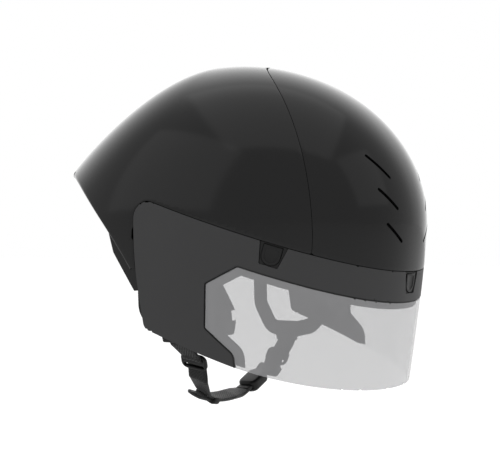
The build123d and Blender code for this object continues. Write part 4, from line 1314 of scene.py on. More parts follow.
@dataclass
class Visor:
    """The matte frame with its catch windows, and the lens."""

    form: HelmetForm
    view: SideView
    catches: Catches
    wall: float = 2.4
    lens_inset: float = 0.2
    edge_round: float = 0.6
    lens_round: float = 0.5
    columns: int = 400
    rows: int = 110
    half_run: float = 1.22
    lowest_rise: float = -1.03
    highest_rise: float = 0.22

    def steps(self) -> tuple[np.ndarray, np.ndarray]:
        """Runs round the visor and rises from the lens edge to the brim."""
        runs = np.linspace(-self.half_run, self.half_run, self.columns)
        return runs, np.linspace(self.lowest_rise, self.highest_rise, self.rows)

    def frame(self) -> bpy.types.Object:
        """Build the matte frame."""
        visor, opening = self.view.visor(), self.view.lens_opening()
        piece = trimmed(
            "visor_frame_skin",
            self.form.wrap,
            *self.steps(),
            lambda y, z: np.maximum(visor(y, z), -opening(y, z)),
        )
        finish_modifier(piece, "SOLIDIFY", thickness=self.wall * MM, offset=-1.0, use_even_offset=False)
        for catch in Catch:
            cut(piece, self.catches.cutter(catch))
        round_edges(piece, self.edge_round, SHARP_TURN)
        return piece

    def lens(self) -> bpy.types.Object:
        """Build the lens."""
        visor, opening = self.view.visor(), self.view.lens_opening()
        seal = self.view.seal_width * MM

        def place(run: np.ndarray, rise: np.ndarray) -> np.ndarray:
            """The lens's outer face."""
            return self.form.wrap(run, rise, self.lens_inset)

        piece = trimmed(
            "lens_sheet",
            place,
            *self.steps(),
            lambda y, z: np.maximum(visor(y, z), opening(y, z) + seal),
        )
        for finish in (SMOKE_LENS, CLEAR_FACE):
            piece.data.materials.append(finish.make())
        finish_modifier(
            piece,
            "SOLIDIFY",
            thickness=(self.wall - self.lens_inset) * MM,
            offset=-1.0,
            use_even_offset=False,
            material_offset=1,
        )
        round_edges(piece, self.lens_round, SHARP_TURN)
        return piece

    def build(self) -> None:
        """Build the visor and set it on the frame."""
        frame = self.frame()
        dress(frame, VISOR_MATTE.make())
        mount(frame, "visor_frame", "visor")
        mount(self.lens(), "visor_lens", "visor")


@dataclass
class HeadRoom:
    """The inside of the liner, in its nose-down frame, in millimetres."""

    half_width: float = 79.0
    front: float = 97.0
    rear: float = 98.0
    height: float = 88.0
    equator: float = 12.0
    pitch: float = 17.9
    front_power: float = 2.165
    rear_power: float = 2.217
    full_share: float = 0.999

    def level(self, x: np.ndarray, y: np.ndarray, inset: np.ndarray) -> np.ndarray:
        """Height of the roof over a place."""
        wide = self.half_width - inset
        reach = np.where(y < 0, self.front - inset, self.rear - inset)
        power = np.where(y < 0, self.front_power, self.rear_power)
        hug = ((np.abs(x) / wide) ** power + (np.abs(y) / reach) ** power) ** (1 / power)
        return self.equator + (self.height - inset) * np.sqrt(np.clip(1 - hug**2, 0, 1))

    def hug(self, z: np.ndarray, inset: np.ndarray) -> np.ndarray:
        """Share of the full plan left at a height."""
        share = np.clip((z - self.equator) / (self.height - inset), 0, self.full_share)
        return np.sqrt(1 - share**2)

    def end(self, x: np.ndarray, z: np.ndarray, inset: np.ndarray, ahead: bool) -> np.ndarray:
        """Place along the helmet of the front or rear wall."""
        hug = self.hug(z, inset)
        power = self.front_power if ahead else self.rear_power
        reach = (self.front if ahead else self.rear) - inset
        share = np.clip(np.abs(x) / ((self.half_width - inset) * hug), 0, self.full_share)
        return (-1 if ahead else 1) * reach * hug * (1 - share**power) ** (1 / power)

    def flank(self, y: np.ndarray, z: np.ndarray, inset: np.ndarray) -> np.ndarray:
        """Half width of the side wall."""
        hug = self.hug(z, inset)
        reach = np.where(y < 0, self.front - inset, self.rear - inset)
        share = np.clip(np.abs(y) / (reach * hug), 0, self.full_share)
        return (self.half_width - inset) * hug * (1 - share**self.front_power) ** (1 / self.front_power)

    def world(self, x: np.ndarray, y: np.ndarray, z: np.ndarray) -> np.ndarray:
        """Points of the pitched frame in metres in the helmet's frame."""
        turn = math.radians(self.pitch)
        back = y * math.cos(turn) - z * math.sin(turn)
        up = y * math.sin(turn) + z * math.cos(turn)
        return np.stack([x + 0 * y, back, up], -1) * MM


@dataclass
class Pads:
    """Cloth comfort pads on the liner, each a crowned cushion with sewn channels."""

    room: HeadRoom
    seat: float = 0.35
    thick: float = 4.2
    columns: int = 56
    rows: int = 28
    corner_share: float = 0.28
    edge_share: float = 0.14
    channel_width: float = 0.045
    channel_depth: float = 0.55
    end_slope: float = 2.4
    side_share: float = 0.3
    back_share: float = 0.27
    cloth_share: float = 0.3
    brow: Point3 = (60.5, 37.0, 11.2)
    rear: Point3 = (44.5, 42.0, 11.2)
    crown: Point2 = (46.5, 21.0)
    side: Point3 = (29.5, 47.0, 10.2)

    def places(self, pad: Pad, u: np.ndarray, v: np.ndarray, inset: np.ndarray) -> np.ndarray:
        """Points of a pad in its own map, at an inset from the liner.

        Args:
            pad: Which pad.
            u: Place across the pad, from -1 to 1.
            v: Place along the pad, from -1 to 1.
            inset: Depth from the liner in millimetres.

        Returns:
            The points in metres.
        """
        room = self.room
        if pad is Pad.CROWN:
            half_long, half_wide = self.crown
            x, y = v * half_wide, u * half_long
            return room.world(x, y, room.level(x, y, inset))
        if pad in (Pad.BROW, Pad.REAR):
            half_long, height, half_tall = self.brow if pad is Pad.BROW else self.rear
            x, z = u * half_long, height + v * half_tall
            return room.world(x, room.end(x, z, inset, pad is Pad.BROW), z)
        half_long, height, half_tall = self.side
        y, z = u * half_long, height + v * half_tall
        side = 1.0 if pad is Pad.LEFT else -1.0
        return room.world(side * room.flank(y, z, inset), y, z)

    def channels(self, pad: Pad) -> tuple[float, ...]:
        """Where the sewn channels cross a pad, as shares of its length."""
        count = 4 if pad is Pad.BROW else 3 if pad in (Pad.CROWN, Pad.REAR) else 2
        return tuple(2 * (k + 1) / (count + 1) - 1 for k in range(count))

    def build_one(self, pad: Pad) -> bpy.types.Object:
        """Build one pad.

        Args:
            pad: Which pad.

        Returns:
            The closed cushion with its cloth map.
        """
        grid_u, grid_v = np.meshgrid(
            np.linspace(-1, 1, self.columns), np.linspace(-1, 1, self.rows), indexing="ij"
        )
        u = grid_u * np.sqrt(1 - self.corner_share * grid_v**2 / 2)
        v = grid_v * np.sqrt(1 - self.corner_share * grid_u**2 / 2)
        edge = np.minimum((1 - np.abs(grid_u)) * self.end_slope, 1 - np.abs(grid_v))
        crown = np.sqrt(1 - (1 - np.clip(edge / (self.edge_share * 3), 0, 1)) ** 2)
        for place in self.channels(pad):
            crown = crown * (1 - self.channel_depth * np.exp(-(((u - place) / self.channel_width) ** 2)))
        back = self.seat + self.back_share * self.thick * (1 - crown**0.5)
        rise = self.side_share + (1 - self.side_share) * crown
        inner = self.places(pad, u, v, self.seat + self.thick * rise)
        outer = self.places(pad, u, v, back)
        close_rim(inner, outer)
        points = np.concatenate([inner.reshape(-1, 3), outer.reshape(-1, 3)])
        piece = piece_from(pad.value + "_cushion", points, cushion_faces(self.columns, self.rows))
        spread = np.concatenate([np.stack([grid_u, grid_v], -1).reshape(-1, 2)] * 2)
        reach = float(np.linalg.norm(points.max(0) - points.min(0))) / 2
        map_points(piece, "cloth", spread * (reach, reach * self.cloth_share))
        tidy_mesh(piece)
        smooth(piece, SOFT_TURN)
        return piece

    def build(self) -> None:
        """Build every pad and set it on the frame."""
        material = PAD_CLOTH.make()
        for pad in Pad:
            piece = self.build_one(pad)
            dress(piece, material)
            mount(piece, pad.value, "shell")


@dataclass
class NapePads:
    """The two cushions on the cradle's rest, in millimetres."""

    origin: Point3 = (0.0, -36.0, 12.0)
    fall: float = 7.0
    straight: float = 50.0
    inner: float = 63.4
    outer: float = 67.5
    turn: float = 20.0
    half_angle: float = 7.2
    low: float = -6.5
    high: float = 14.5
    corner_share: float = 0.25
    side_slope: float = 1.5
    edge_share: float = 0.5
    seam_width: float = 0.08
    seam_depth: float = 0.5
    side_share: float = 0.3
    back_share: float = 0.2
    cloth_reach: float = 0.01
    steps: int = 24

    def world(self, angle: np.ndarray, reach: np.ndarray, up: np.ndarray) -> np.ndarray:
        """Points of the cradle's frame in metres in the helmet's frame."""
        fall = math.radians(self.fall)
        along = self.straight + reach * np.cos(angle)
        x = self.origin[0] + reach * np.sin(angle)
        y = self.origin[1] + along * math.cos(fall) + up * math.sin(fall)
        z = self.origin[2] - along * math.sin(fall) + up * math.cos(fall)
        return np.stack([x, y, z], -1) * MM

    def build(self) -> None:
        """Build both cushions as one piece and set it on the frame."""
        points: list[np.ndarray] = []
        faces: list[tuple[int, ...]] = []
        spread: list[np.ndarray] = []
        line = np.linspace(-1, 1, self.steps)
        for side in Side:
            u, v = np.meshgrid(line, line, indexing="ij")
            spin = math.radians(self.half_angle) * u * np.sqrt(1 - self.corner_share * v**2 / 2)
            angle = math.radians(self.turn) * side.value + spin
            half = (self.high - self.low) / 2
            up = (self.low + self.high) / 2 + half * v * np.sqrt(1 - self.corner_share * u**2 / 2)
            edge = np.minimum(1 - np.abs(u), (1 - np.abs(v)) * self.side_slope)
            crown = np.sqrt(1 - (1 - np.clip(edge / self.edge_share, 0, 1)) ** 2)
            crown = crown * (1 - self.seam_depth * np.exp(-((v / self.seam_width) ** 2)))
            thick = self.outer - self.inner
            rise = self.side_share + (1 - self.side_share) * crown
            front = self.world(angle, self.outer - thick * rise, up)
            rear = self.world(angle, self.outer - self.back_share * thick * (1 - crown), up)
            close_rim(front, rear)
            faces += cushion_faces(self.steps, self.steps, sum(len(p) for p in points))
            points += [front.reshape(-1, 3), rear.reshape(-1, 3)]
            spread += [np.stack([u, v], -1).reshape(-1, 2) * self.cloth_reach] * 2
        piece = piece_from("nape_cushions", np.concatenate(points), faces)
        map_points(piece, "cloth", np.concatenate(spread))
        tidy_mesh(piece)
        smooth(piece, SOFT_TURN)
        dress(piece, PAD_CLOTH.make())
        mount(piece, "nape_pads", "yoke")


@dataclass
class Strap:
    """One length of flat webbing or leather that follows a line."""

    name: str
    node: str
    body: str
    finish: Finish
    places: list[Point3]
    across: list[Point3]
    wide: float
    thick: float
    step: float = 0.6
    ease: int = 6
    tip: float = 0.0
    tip_share: float = 0.02
    edge_points: int = 5

    def section(self) -> np.ndarray:
        """The rounded cross-section: place across and place through."""
        half, round_off = self.wide / 2, self.thick / 2
        turns = np.linspace(-math.pi / 2, math.pi / 2, self.edge_points)
        right = [(half - round_off + round_off * math.cos(t), round_off * math.sin(t)) for t in turns]
        left = [(-x, -z) for x, z in right]
        middle = [(half / 2, round_off), (0.0, round_off), (-half / 2, round_off)]
        return np.array(right + middle + left + [(-x, -z) for x, z in middle])

    def line(self) -> tuple[np.ndarray, np.ndarray]:
        """Even steps along the strap, with the direction across at each."""
        places, across = np.array(self.places), np.array(self.across)
        at = travelled(places)
        steps = np.linspace(0, at[-1], int(at[-1] / self.step))
        line = np.stack([np.interp(steps, at, places[:, k]) for k in range(3)], -1)
        side = np.stack([np.interp(steps, at, across[:, k]) for k in range(3)], -1)
        for _ in range(self.ease):
            line[1:-1] = (line[:-2] + 2 * line[1:-1] + line[2:]) / 4
            side[1:-1] = (side[:-2] + 2 * side[1:-1] + side[2:]) / 4
        return line, side / np.linalg.norm(side, axis=1, keepdims=True)

    def widths(self, line: np.ndarray) -> np.ndarray:
        """Share of the full width at each step, less over a round tip at the start."""
        if not self.tip:
            return np.ones(len(line))
        share = np.clip(travelled(line) / self.tip, self.tip_share, 1)
        return np.sqrt(1 - (1 - share) ** 2)

    def build(self) -> None:
        """Build the strap and set it on the frame."""
        line, side = self.line()
        along = np.gradient(line, axis=0)
        along /= np.linalg.norm(along, axis=1, keepdims=True)
        side = side - along * (side * along).sum(1, keepdims=True)
        side /= np.linalg.norm(side, axis=1, keepdims=True)
        through = np.cross(along, side)
        shape = self.section()
        count = len(shape)
        wide = self.widths(line)[:, None, None] * shape[None, :, :1]
        rings = line[:, None] + side[:, None] * wide + through[:, None] * shape[None, :, 1:]
        faces: list[tuple[int, ...]] = []
        for i in range(len(line) - 1):
            for j in range(count):
                k = (j + 1) % count
                faces.append((i * count + j, i * count + k, (i + 1) * count + k, (i + 1) * count + j))
        last = (len(line) - 1) * count
        faces += [tuple(reversed(range(count))), tuple(range(last, last + count))]
        piece = piece_from(self.name, rings.reshape(-1, 3) * MM, faces)
        spots = np.stack([np.repeat(travelled(line), count), np.tile(shape[:, 0], len(line))], -1)
        map_points(piece, "strip", spots * MM)
        with editing(piece):
            bpy.ops.mesh.normals_make_consistent(inside=False)
        smooth(piece, SHARP_TURN)
        dress(piece, self.finish.make())
        mount(piece, self.node, self.body)


@dataclass
class Harness:
    """The webbing, the ladders and dividers, and the leather chin strap, in millimetres."""

    loop_lines: dict[Side, tuple[Point2, ...]] = field(
        default_factory=lambda: {
            Side.LEFT: ((47, -8), (46, -40), (36, -58), (20, -61), (0, -56.5), (-20, -38)),
            Side.RIGHT: ((47, -8), (46, -36), (36, -47), (20, -50), (0, -46.5), (-20, -38)),
        }
    )
    loop_turn: float = 9.0
    loop_x: float = 76.0
    loop_wide: float = 12.0
    webbing_wide: float = 15.0
    webbing_thick: float = 1.6
    divider_y: float = 21.5
    webbing_y: dict[Side, float] = field(default_factory=lambda: {Side.LEFT: 21.5, Side.RIGHT: 17.5})
    divider_z: dict[Side, float] = field(default_factory=lambda: {Side.LEFT: -61.0, Side.RIGHT: -50.0})
    divider_top: float = 25.0
    divider_foot: float = 17.0
    divider_tall: float = 15.6
    divider_thick: float = 4.2
    divider_waist: float = 1.2
    divider_low: float = 0.3
    divider_high: float = 0.35
    divider_lip: float = 1.0
    divider_corner: float = 1.5
    divider_hollow: float = 6.0
    divider_bulge: float = 3.0
    divider_edge: float = 1.4
    ladders: dict[Side, tuple[Point3, Point3]] = field(
        default_factory=lambda: {
            Side.LEFT: ((68.5, 26.0, -81.0), (-0.42, 0.16, -0.9)),
            Side.RIGHT: ((-60.5, 15.5, -71.8), (0.5, 0.2, -0.85)),
        }
    )
    ladder_wide: float = 20.0
    ladder_tall: float = 12.6
    ladder_thick: float = 3.0
    ladder_corner: float = 4.536
    ladder_edge: float = 0.8
    slot_wide: float = 15.8
    slot_tall: float = 2.4
    slot_corner: float = 0.96
    slot_deep: float = 19.0
    slot_spacing: float = 6.0
    bracket: tuple[Point3, Point3] = ((60.0, 29.0, -91.0), (-0.79, 0.1, -0.61))
    bracket_rises: Point2 = (4.5, 1.5)
    bend: tuple[Point3, Point3] = ((-51.0, 18.5, -85.5), (0.5, 0.45, -0.74))
    webbing_bury: float = 1.5
    thread_off: float = 2.65
    thread_rise: float = 6.8
    thread_fall: float = 5.5
    chin_centre: Point3 = (-3.0, 33.0, 20.0)
    chin_radius: float = 127.0
    chin_from: float = -19.0
    chin_to: float = 13.8
    chin_wide: float = 13.0
    chin_thick: float = 2.2
    chin_tip: float = 5.0
    chin_steps: int = 60
    chin_tilt: float = 23.0
    tilt_share: tuple[Point2, ...] = ((-19.0, 1.0), (9.0, 1.0), (13.8, 0.2))
    chin_sway: tuple[Point3, ...] = ((-19.0, -3.5, 3.5), (4.0, -3.5, 3.0), (13.8, 0.0, 0.0))
    keeper_at: float = -9.6
    keeper_wide: float = 19.0
    keeper_long: float = 6.0
    keeper_thick: float = 5.4
    keeper_lift: float = 0.6
    keeper_room: Point3 = (13.9, 2.9, 0.87)
    webbing_room: Point3 = (15.4, 2.0, 0.6)
    room_wall: float = 0.6
    keeper_corner: float = 2.6
    keeper_edge: float = 0.7
    keeper_lead: float = 2.6
    tuck: tuple[Point2, ...] = ((3.0, 1.6), (-1.0, 0.0), (-4.0, 0.0))
    socket_at: float = 21.75
    socket_size: Point3 = (23.3, 16.0, 9.0)
    socket_corner: float = 5.5
    socket_edge: float = 2.4
    socket_steps: int = 5
    mouth_size: Point3 = (11.7, 3.7, 0.8)
    mouth_deep: float = 9.0

    def loop(self, side: Side) -> Strap:
        """The webbing loop of one side."""
        points = list(self.loop_lines[side])
        line = rounded(points, {k: self.loop_turn for k in range(1, len(points) - 1)})
        places = [(side.value * self.loop_x, y, z) for y, z in line]
        flat = np.gradient(np.array(line), axis=0)
        across = [(0.0, float(-dz), float(dy)) for dy, dz in flat / np.linalg.norm(flat, axis=1)[:, None]]
        word = side.name.lower()
        return Strap(
            f"{word}_webbing_loop",
            f"{word}_strap",
            "shell",
            WEBBING,
            places,
            across,
            self.loop_wide,
            self.webbing_thick,
        )

    def foot_places(self, side: Side) -> list[tuple[Point3, Vector]]:
        """Where a lower strap goes past its ladder, each place with its way across."""
        if side is Side.LEFT:
            bracket = Lie.hung(*self.bracket)
            return [(bracket.spot(0, rise, 0), bracket.across) for rise in self.bracket_rises]
        bend, keeper = Lie.hung(*self.bend), self.chin_lie(self.keeper_at - self.keeper_lead)
        inner = self.keeper_room[1] / 2 + self.webbing_thick / 2
        ends = [(keeper.spot(0, up, inner + out), keeper.across) for up, out in self.tuck]
        return [(bend.spot(0, 0, 0), bend.across), *ends]

    def chin_place(self, angle: float) -> tuple[Vector, Vector, Vector]:
        """A place on the loop round the chin, its way to the left and its way inwards."""
        turn = math.radians(angle)
        along = Vector((math.cos(turn), 0, math.sin(turn)))
        inward = Vector((-math.sin(turn), 0, math.cos(turn)))
        return Vector(self.chin_centre) - inward * self.chin_radius, along, inward

    def chin_lie(self, angle: float) -> Lie:
        """How the chin strap lies at an angle along its loop, front edge down."""
        at, along, inward = self.chin_place(angle)
        angles, forward, lift = np.array(self.chin_sway).T
        at += Vector((0, np.interp(angle, angles, forward), np.interp(angle, angles, lift)))
        tilt = math.radians(self.chin_tilt) * float(np.interp(angle, *np.array(self.tilt_share).T))
        across = Vector((0, 1, 0)) * math.cos(tilt) + inward * math.sin(tilt)
        return Lie(at, across, -along, across.cross(-along))

    def lower(self, side: Side) -> Strap:
        """The webbing from a divider, through its ladder, to the chin strap's fittings."""
        lie, face, flat = Lie.hung(*self.ladders[side]), side.value * self.thread_off, Vector((0, 1, 0))
        x, foot = side.value * self.loop_x, self.divider_z[side] - self.divider_tall / 2
        turn = self.slot_spacing / 2
        chain = [((x, self.webbing_y[side], foot + over), flat) for over in (self.webbing_bury, 0)]
        for up, off in ((self.thread_rise, face), (turn, face), (turn, -face), (-self.thread_fall, -face)):
            chain.append((lie.spot(0, up, off), lie.across))
        chain += self.foot_places(side)
        word = side.name.lower()
        return Strap(
            f"{word}_lower_webbing",
            f"{word}_lower_strap",
            "shell",
            WEBBING,
            [place for place, _ in chain],
            [tuple(across) for _, across in chain],
            self.webbing_wide,
            self.webbing_thick,
        )

    def ladder(self, side: Side) -> bpy.types.Object:
        """Build a ladder: a round-cornered plate with two slots."""
        outline = box_outline(self.ladder_wide, self.ladder_tall, self.ladder_corner)
        piece = plate(f"{side.name.lower()}_ladder_plate", outline, self.ladder_thick)
        for way in (-1, 1):
            size = (self.slot_wide, self.slot_tall, self.slot_corner)
            self.cut_slot(piece, size, way * self.slot_spacing / 2)
        round_edges(piece, self.ladder_edge)
        settle(piece, Lie.hung(*self.ladders[side]).matrix())
        return piece

    def cut_slot(self, piece: bpy.types.Object, size: Point3, rise: float) -> None:
        """Cut a slot through a flat fitting.

        Args:
            piece: The fitting, still in its own XY plane.
            size: The slot's width, height and corner radius in millimetres.
            rise: How far over the fitting's middle the slot lies, in millimetres.
        """
        slot = plate("slot", box_outline(*size), self.slot_deep)
        settle(slot, Matrix.Translation((0, rise * MM, 0)))
        cut(piece, slot)

    def divider(self, side: Side) -> bpy.types.Object:
        """Build a divider: a tapered soft block over the webbing loop."""
        top, foot, rise = self.divider_top / 2, self.divider_foot / 2, self.divider_tall / 2
        points = [
            (foot, -rise),
            (foot + self.divider_waist, -rise * self.divider_low),
            (top, rise * self.divider_high),
            (top - self.divider_lip, rise),
        ]
        turns = [self.divider_corner, self.divider_hollow, self.divider_bulge, self.divider_corner]
        points += [(-x, y) for x, y in reversed(points)]
        outline = rounded(points, dict(enumerate(turns + turns[::-1])))
        piece = plate(f"{side.name.lower()}_divider_block", outline, self.divider_thick)
        round_edges(piece, self.divider_edge, steps=4)
        at = (side.value * self.loop_x, self.divider_y, self.divider_z[side])
        settle(piece, Lie.sideways(at).matrix())
        return piece

    def keeper(self) -> bpy.types.Object:
        """Build the keeper: a slim round-cornered ring that the chin strap runs through."""
        outline = box_outline(self.keeper_wide, self.keeper_thick, self.keeper_corner)
        piece = plate("strap_keeper_ring", outline, self.keeper_long)
        self.cut_slot(piece, self.keeper_room, -self.keeper_lift)
        self.cut_slot(piece, self.webbing_room, self.keeper_room[1] / 2 + self.room_wall)
        round_edges(piece, self.keeper_edge)
        lie = self.chin_lie(self.keeper_at)
        settle(piece, Lie(lie.at + lie.out * self.keeper_lift, lie.across, lie.out, -lie.up).matrix())
        return piece

    def socket(self) -> bpy.types.Object:
        """Build the buckle's socket: a soft lozenge with a mouth for the tongue."""
        long, wide, thick = self.socket_size
        piece = plate("buckle_socket_block", box_outline(long, wide, self.socket_corner), thick)
        round_edges(piece, self.socket_edge, steps=self.socket_steps)
        mouth = plate("mouth", box_outline(*self.mouth_size), 2 * self.mouth_deep)
        settle(mouth, Lie.sideways((-long / 2, 0, 0)).matrix())
        cut(piece, mouth)
        at, along, inward = self.chin_place(self.socket_at)
        settle(piece, Lie(at, along, Vector((0, 1, 0)), inward).matrix())
        return piece

    def chin(self) -> Strap:
        """The chin strap along the bottom of the loop round the chin."""
        angles = np.linspace(self.chin_from, self.chin_to, self.chin_steps)
        lies = [self.chin_lie(angle) for angle in angles]
        return Strap(
            "chin_strap_leather",
            "chin_strap",
            "chin",
            CHIN_LEATHER,
            [tuple(lie.at) for lie in lies],
            [tuple(lie.across) for lie in lies],
            self.chin_wide,
            self.chin_thick,
            tip=self.chin_tip,
        )

    def build(self) -> None:
        """Build every strap and fitting of the harness."""
        for side in Side:
            self.loop(side).build()
            self.lower(side).build()
            word = side.name.lower()
            self.fit(self.ladder(side), f"{word}_ladder")
            self.fit(self.divider(side), f"{word}_divider")
        self.fit(self.keeper(), "strap_keeper")
        self.fit(self.socket(), "buckle_socket")
        self.chin().build()

    def fit(self, piece: bpy.types.Object, node: str) -> None:
        """Dress a black fitting and set it on the frame in its node's place."""
        dress(piece, BLACK_PLASTIC.make())
        mount(piece, node, "shell")


FINISH_OF = {
    "lower_shell": SATIN_SKIN,
    "foam_liner": LINER_FOAM,
    "lens_seal": SEAL_RUBBER,
    "lens_bezel": BEZEL_GREY,
    "dial_knob": DIAL_RUBBER,
}
PREFIX_FINISH = {
    "magnet_cap": CAP_PLASTIC,
    "shell_magnets": MAGNET_NICKEL,
    "visor_magnets": MAGNET_NICKEL,
    "strap_anchors": PIN_STEEL,
    "cradle_screws": PIN_STEEL,
    "left_pivot": PIN_STEEL,
    "right_pivot": PIN_STEEL,
}


def finish_for(node: str) -> Finish:
    """The finish of a CAD node."""
    for start, finish in PREFIX_FINISH.items():
        if node.startswith(start):
            return finish
    return FINISH_OF.get(node, BLACK_PLASTIC)


@dataclass
class Fittings:
    """Hard fittings with their edges rounded, each a copy of its solid."""

    nodes: dict[str, bpy.types.Object]
    bodies: dict[str, list[str]]
    rounds: dict[str, float] = field(
        default_factory=lambda: {
            "buckle_bracket": 1.2,
            "buckle_tongue": 0.6,
            "strap_anchors": 0.5,
            "left_arm": 0.5,
            "right_arm": 0.5,
            "cradle_yoke": 0.6,
            "dial_housing": 0.9,
            "dial_knob": 0.5,
            "foam_liner": 0.6,
        }
    )
    flat_angle: float = 2.0
    sharp_angle: float = 38.0
    weld: float = 0.00001
    tab_cut: tuple[Point2, ...] = ((-60, -13.5), (-17, -13.5), (-26, -33), (-27, -40), (-25, -75), (-60, -75))
    tab_from: float = 55.0
    tab_to: float = 110.0

    def rounded_copy(self, node: str, width: float) -> bpy.types.Object:
        """Copy a node's solid, merge its triangles and round its edges."""
        piece = bpy.data.objects.new(f"{node}_rounded", self.nodes[node].data.copy())
        bpy.context.scene.collection.objects.link(piece)
        tidy_mesh(piece, self.weld)
        with editing(piece):
            bpy.ops.mesh.dissolve_limited(angle_limit=math.radians(self.flat_angle))
        if node == "foam_liner":
            self.trim_tabs(piece)
        round_edges(piece, width, self.sharp_angle)
        return piece

    def trim_tabs(self, piece: bpy.types.Object) -> None:
        """Set the foam back from the front edges of the two ear tabs."""
        for side in Side:
            block = plate("tab_block", list(self.tab_cut), self.tab_to - self.tab_from)
            middle = side.value * (self.tab_to + self.tab_from) / 2
            settle(block, Lie.sideways((middle, 0, 0)).matrix())
            cut(piece, block)

    def build(self) -> None:
        """Build every fitting and set it on the frame."""
        body_of = {node: body for body, nodes in self.bodies.items() for node in nodes}
        for node, width in self.rounds.items():
            piece = self.rounded_copy(node, width)
            finish = finish_for(node)
            dress(piece, finish.make())
            mount(piece, node, body_of[node])


def dress_frame(nodes: dict) -> None:
    """Give every CAD node that stays its finish.

    Args:
        nodes: The CAD pieces by name.
    """
    made: dict[str, bpy.types.Material] = {}
    for name, piece in nodes.items():
        finish = finish_for(name)
        if finish.name not in made:
            made[finish.name] = finish.make()
        if not piece.material_slots:
            piece.data.materials.append(made[finish.name])
        for slot in piece.material_slots:
            slot.link = "OBJECT"
            slot.material = made[finish.name]


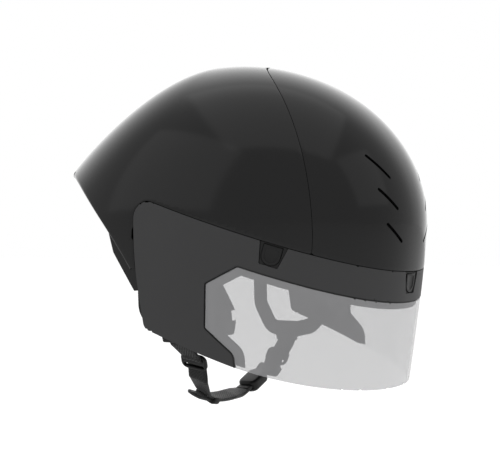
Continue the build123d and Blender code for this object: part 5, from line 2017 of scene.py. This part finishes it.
@dataclass
class Studio:
    """The camera of the photograph, the pale stage and its lights, in metres."""

    azimuth: float = -57.6
    elevation: float = 0.25
    distance: float = 0.81164
    lens: float = 80.0
    sensor: float = 36.0
    clip_start: float = 0.01
    right: float = -0.00692
    up: float = 0.01626
    floor: float = -0.215
    reach: float = 6.0
    glow: float = 0.62
    rim_glow: float = 0.9
    rim_way: Point3 = (0.8, 0.55, 0.22)
    rim_from: float = 0.35
    backdrop: float = 1.0
    floor_lift: float = 0.36
    floor_tones: Point2 = (0.86, 0.9)
    floor_rough: float = 0.9
    floor_specular: float = 0.1
    lamps: tuple[tuple[str, Point3, float, float], ...] = (
        ("overhead", (-0.2, -0.1, 1.7), 2.0, 4.0),
        ("rear_soft", (-1.5, 1.0, 1.0), 1.6, 2.2),
        ("front_soft", (0.2, -1.9, 1.1), 1.4, 1.6),
    )

    def axes(self) -> tuple[Vector, Vector, Vector]:
        """Unit vectors back to the camera, to its right and up."""
        turn, tilt = math.radians(self.azimuth), math.radians(self.elevation)
        back = Vector((math.sin(turn) * math.cos(tilt), -math.cos(turn) * math.cos(tilt), math.sin(tilt)))
        right = Vector((math.cos(turn), math.sin(turn), 0))
        return back, right, back.cross(right)

    def camera(self) -> None:
        """Place the camera."""
        back, right, up = self.axes()
        data = bpy.data.cameras.new("camera")
        data.lens = self.lens
        data.sensor_width = self.sensor
        data.clip_start = self.clip_start
        camera = bpy.data.objects.new("camera", data)
        bpy.context.scene.collection.objects.link(camera)
        frame = Matrix((right, up, back)).transposed().to_4x4()
        frame.translation = back * self.distance + right * self.right + up * self.up
        camera.matrix_world = frame
        bpy.context.scene.camera = camera

    def lamp(self, name: str, place: Point3, size: float, power: float) -> None:
        """Hang a soft square lamp that points at the helmet."""
        data = bpy.data.lights.new(name, "AREA")
        data.shape = "SQUARE"
        data.size = size
        data.energy = power
        lamp = bpy.data.objects.new(name, data)
        bpy.context.scene.collection.objects.link(lamp)
        lamp.location = place
        aim = Vector((0, 0, 0)) - lamp.location
        lamp.rotation_euler = aim.to_track_quat("-Z", "Y").to_euler()

    def stage(self) -> None:
        """Lay the pale floor."""
        deselect()
        bpy.ops.mesh.primitive_plane_add(size=self.reach * 2, location=(0, 0, self.floor))
        floor = bpy.context.object
        floor.name = "floor"
        material = bpy.data.materials.new("pale_floor")
        material.use_nodes = True
        build = NodeTree(material.node_tree)
        shader = build.add("BsdfPrincipled")
        shader.inputs["Roughness"].default_value = self.floor_rough
        shader.inputs["Specular IOR Level"].default_value = self.floor_specular
        shader.inputs["Emission Color"].default_value = (1, 1, 1, 1)
        ahead = build.add("LightPath").outputs["Is Camera Ray"]
        lift = build.math("MULTIPLY", ahead, self.floor_lift)
        build.link(lift, shader.inputs["Emission Strength"])
        place = build.add("TexCoord").outputs["Object"]
        clouds = EFFECTS.use(build, "clouds", place, Broad_Scale=0.5)
        low, high = ((tone, tone, tone, 1) for tone in self.floor_tones)
        colour = build.blend(clouds.outputs["Broad"], low, high)
        build.link(colour, shader.inputs["Base Color"])
        out = build.add("OutputMaterial")
        build.link(shader.outputs[0], out.inputs[0])
        dress(floor, material)

    def world(self) -> None:
        """Set the even pale surroundings."""
        world = bpy.data.worlds.new("studio")
        world.use_nodes = True
        build = NodeTree(world.node_tree)
        way = build.add("TexCoord").outputs["Generated"]
        inputs = {0: way, 1: Vector(self.rim_way).normalized()}
        aim = build.add("VectorMath", inputs, operation="DOT_PRODUCT").outputs["Value"]
        inputs = {"Value": aim, "From Min": self.rim_from, "From Max": 1.0, "To Max": self.rim_glow}
        lobe = build.add("MapRange", inputs, interpolation_type="SMOOTHSTEP")
        strength = build.math("ADD", lobe.outputs[0], self.glow)
        light = build.add("Background", {"Color": (1, 1, 1, 1), "Strength": strength})
        seen = build.add("Background", {"Color": (1, 1, 1, 1), "Strength": self.backdrop})
        ahead = build.add("LightPath").outputs["Is Camera Ray"]
        both = build.add("MixShader", {0: ahead, 1: light.outputs[0], 2: seen.outputs[0]})
        out = build.add("OutputWorld")
        build.link(both.outputs[0], out.inputs[0])
        bpy.context.scene.world = world

    def build(self) -> None:
        """Set up the camera, stage, lamps and surroundings."""
        self.camera()
        self.stage()
        self.world()
        for lamp in self.lamps:
            self.lamp(*lamp)
        bpy.context.scene.view_settings.view_transform = "Standard"


def bodies_of(record: dict) -> dict[str, list[str]]:
    """The nodes of each body in the record."""
    bodies = record["behaviour"]["bodies"]
    if isinstance(bodies, dict):
        return bodies
    return {body["name"]: body["nodes"] for body in bodies}


def main() -> None:
    """Build the helmet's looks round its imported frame."""
    logging.basicConfig(level=logging.INFO, format="%(message)s")
    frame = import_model()
    Studio().build()
    form, view = HelmetForm(), SideView()
    dress_frame(frame["nodes"])
    Shells(form, view).build()
    catches = Catches(form, view)
    catches.build()
    Visor(form, view, catches).build()
    Pads(HeadRoom()).build()
    NapePads().build()
    Harness().build()
    Fittings(frame["nodes"], bodies_of(frame["record"])).build()


if __name__ == "__main__":
    main()
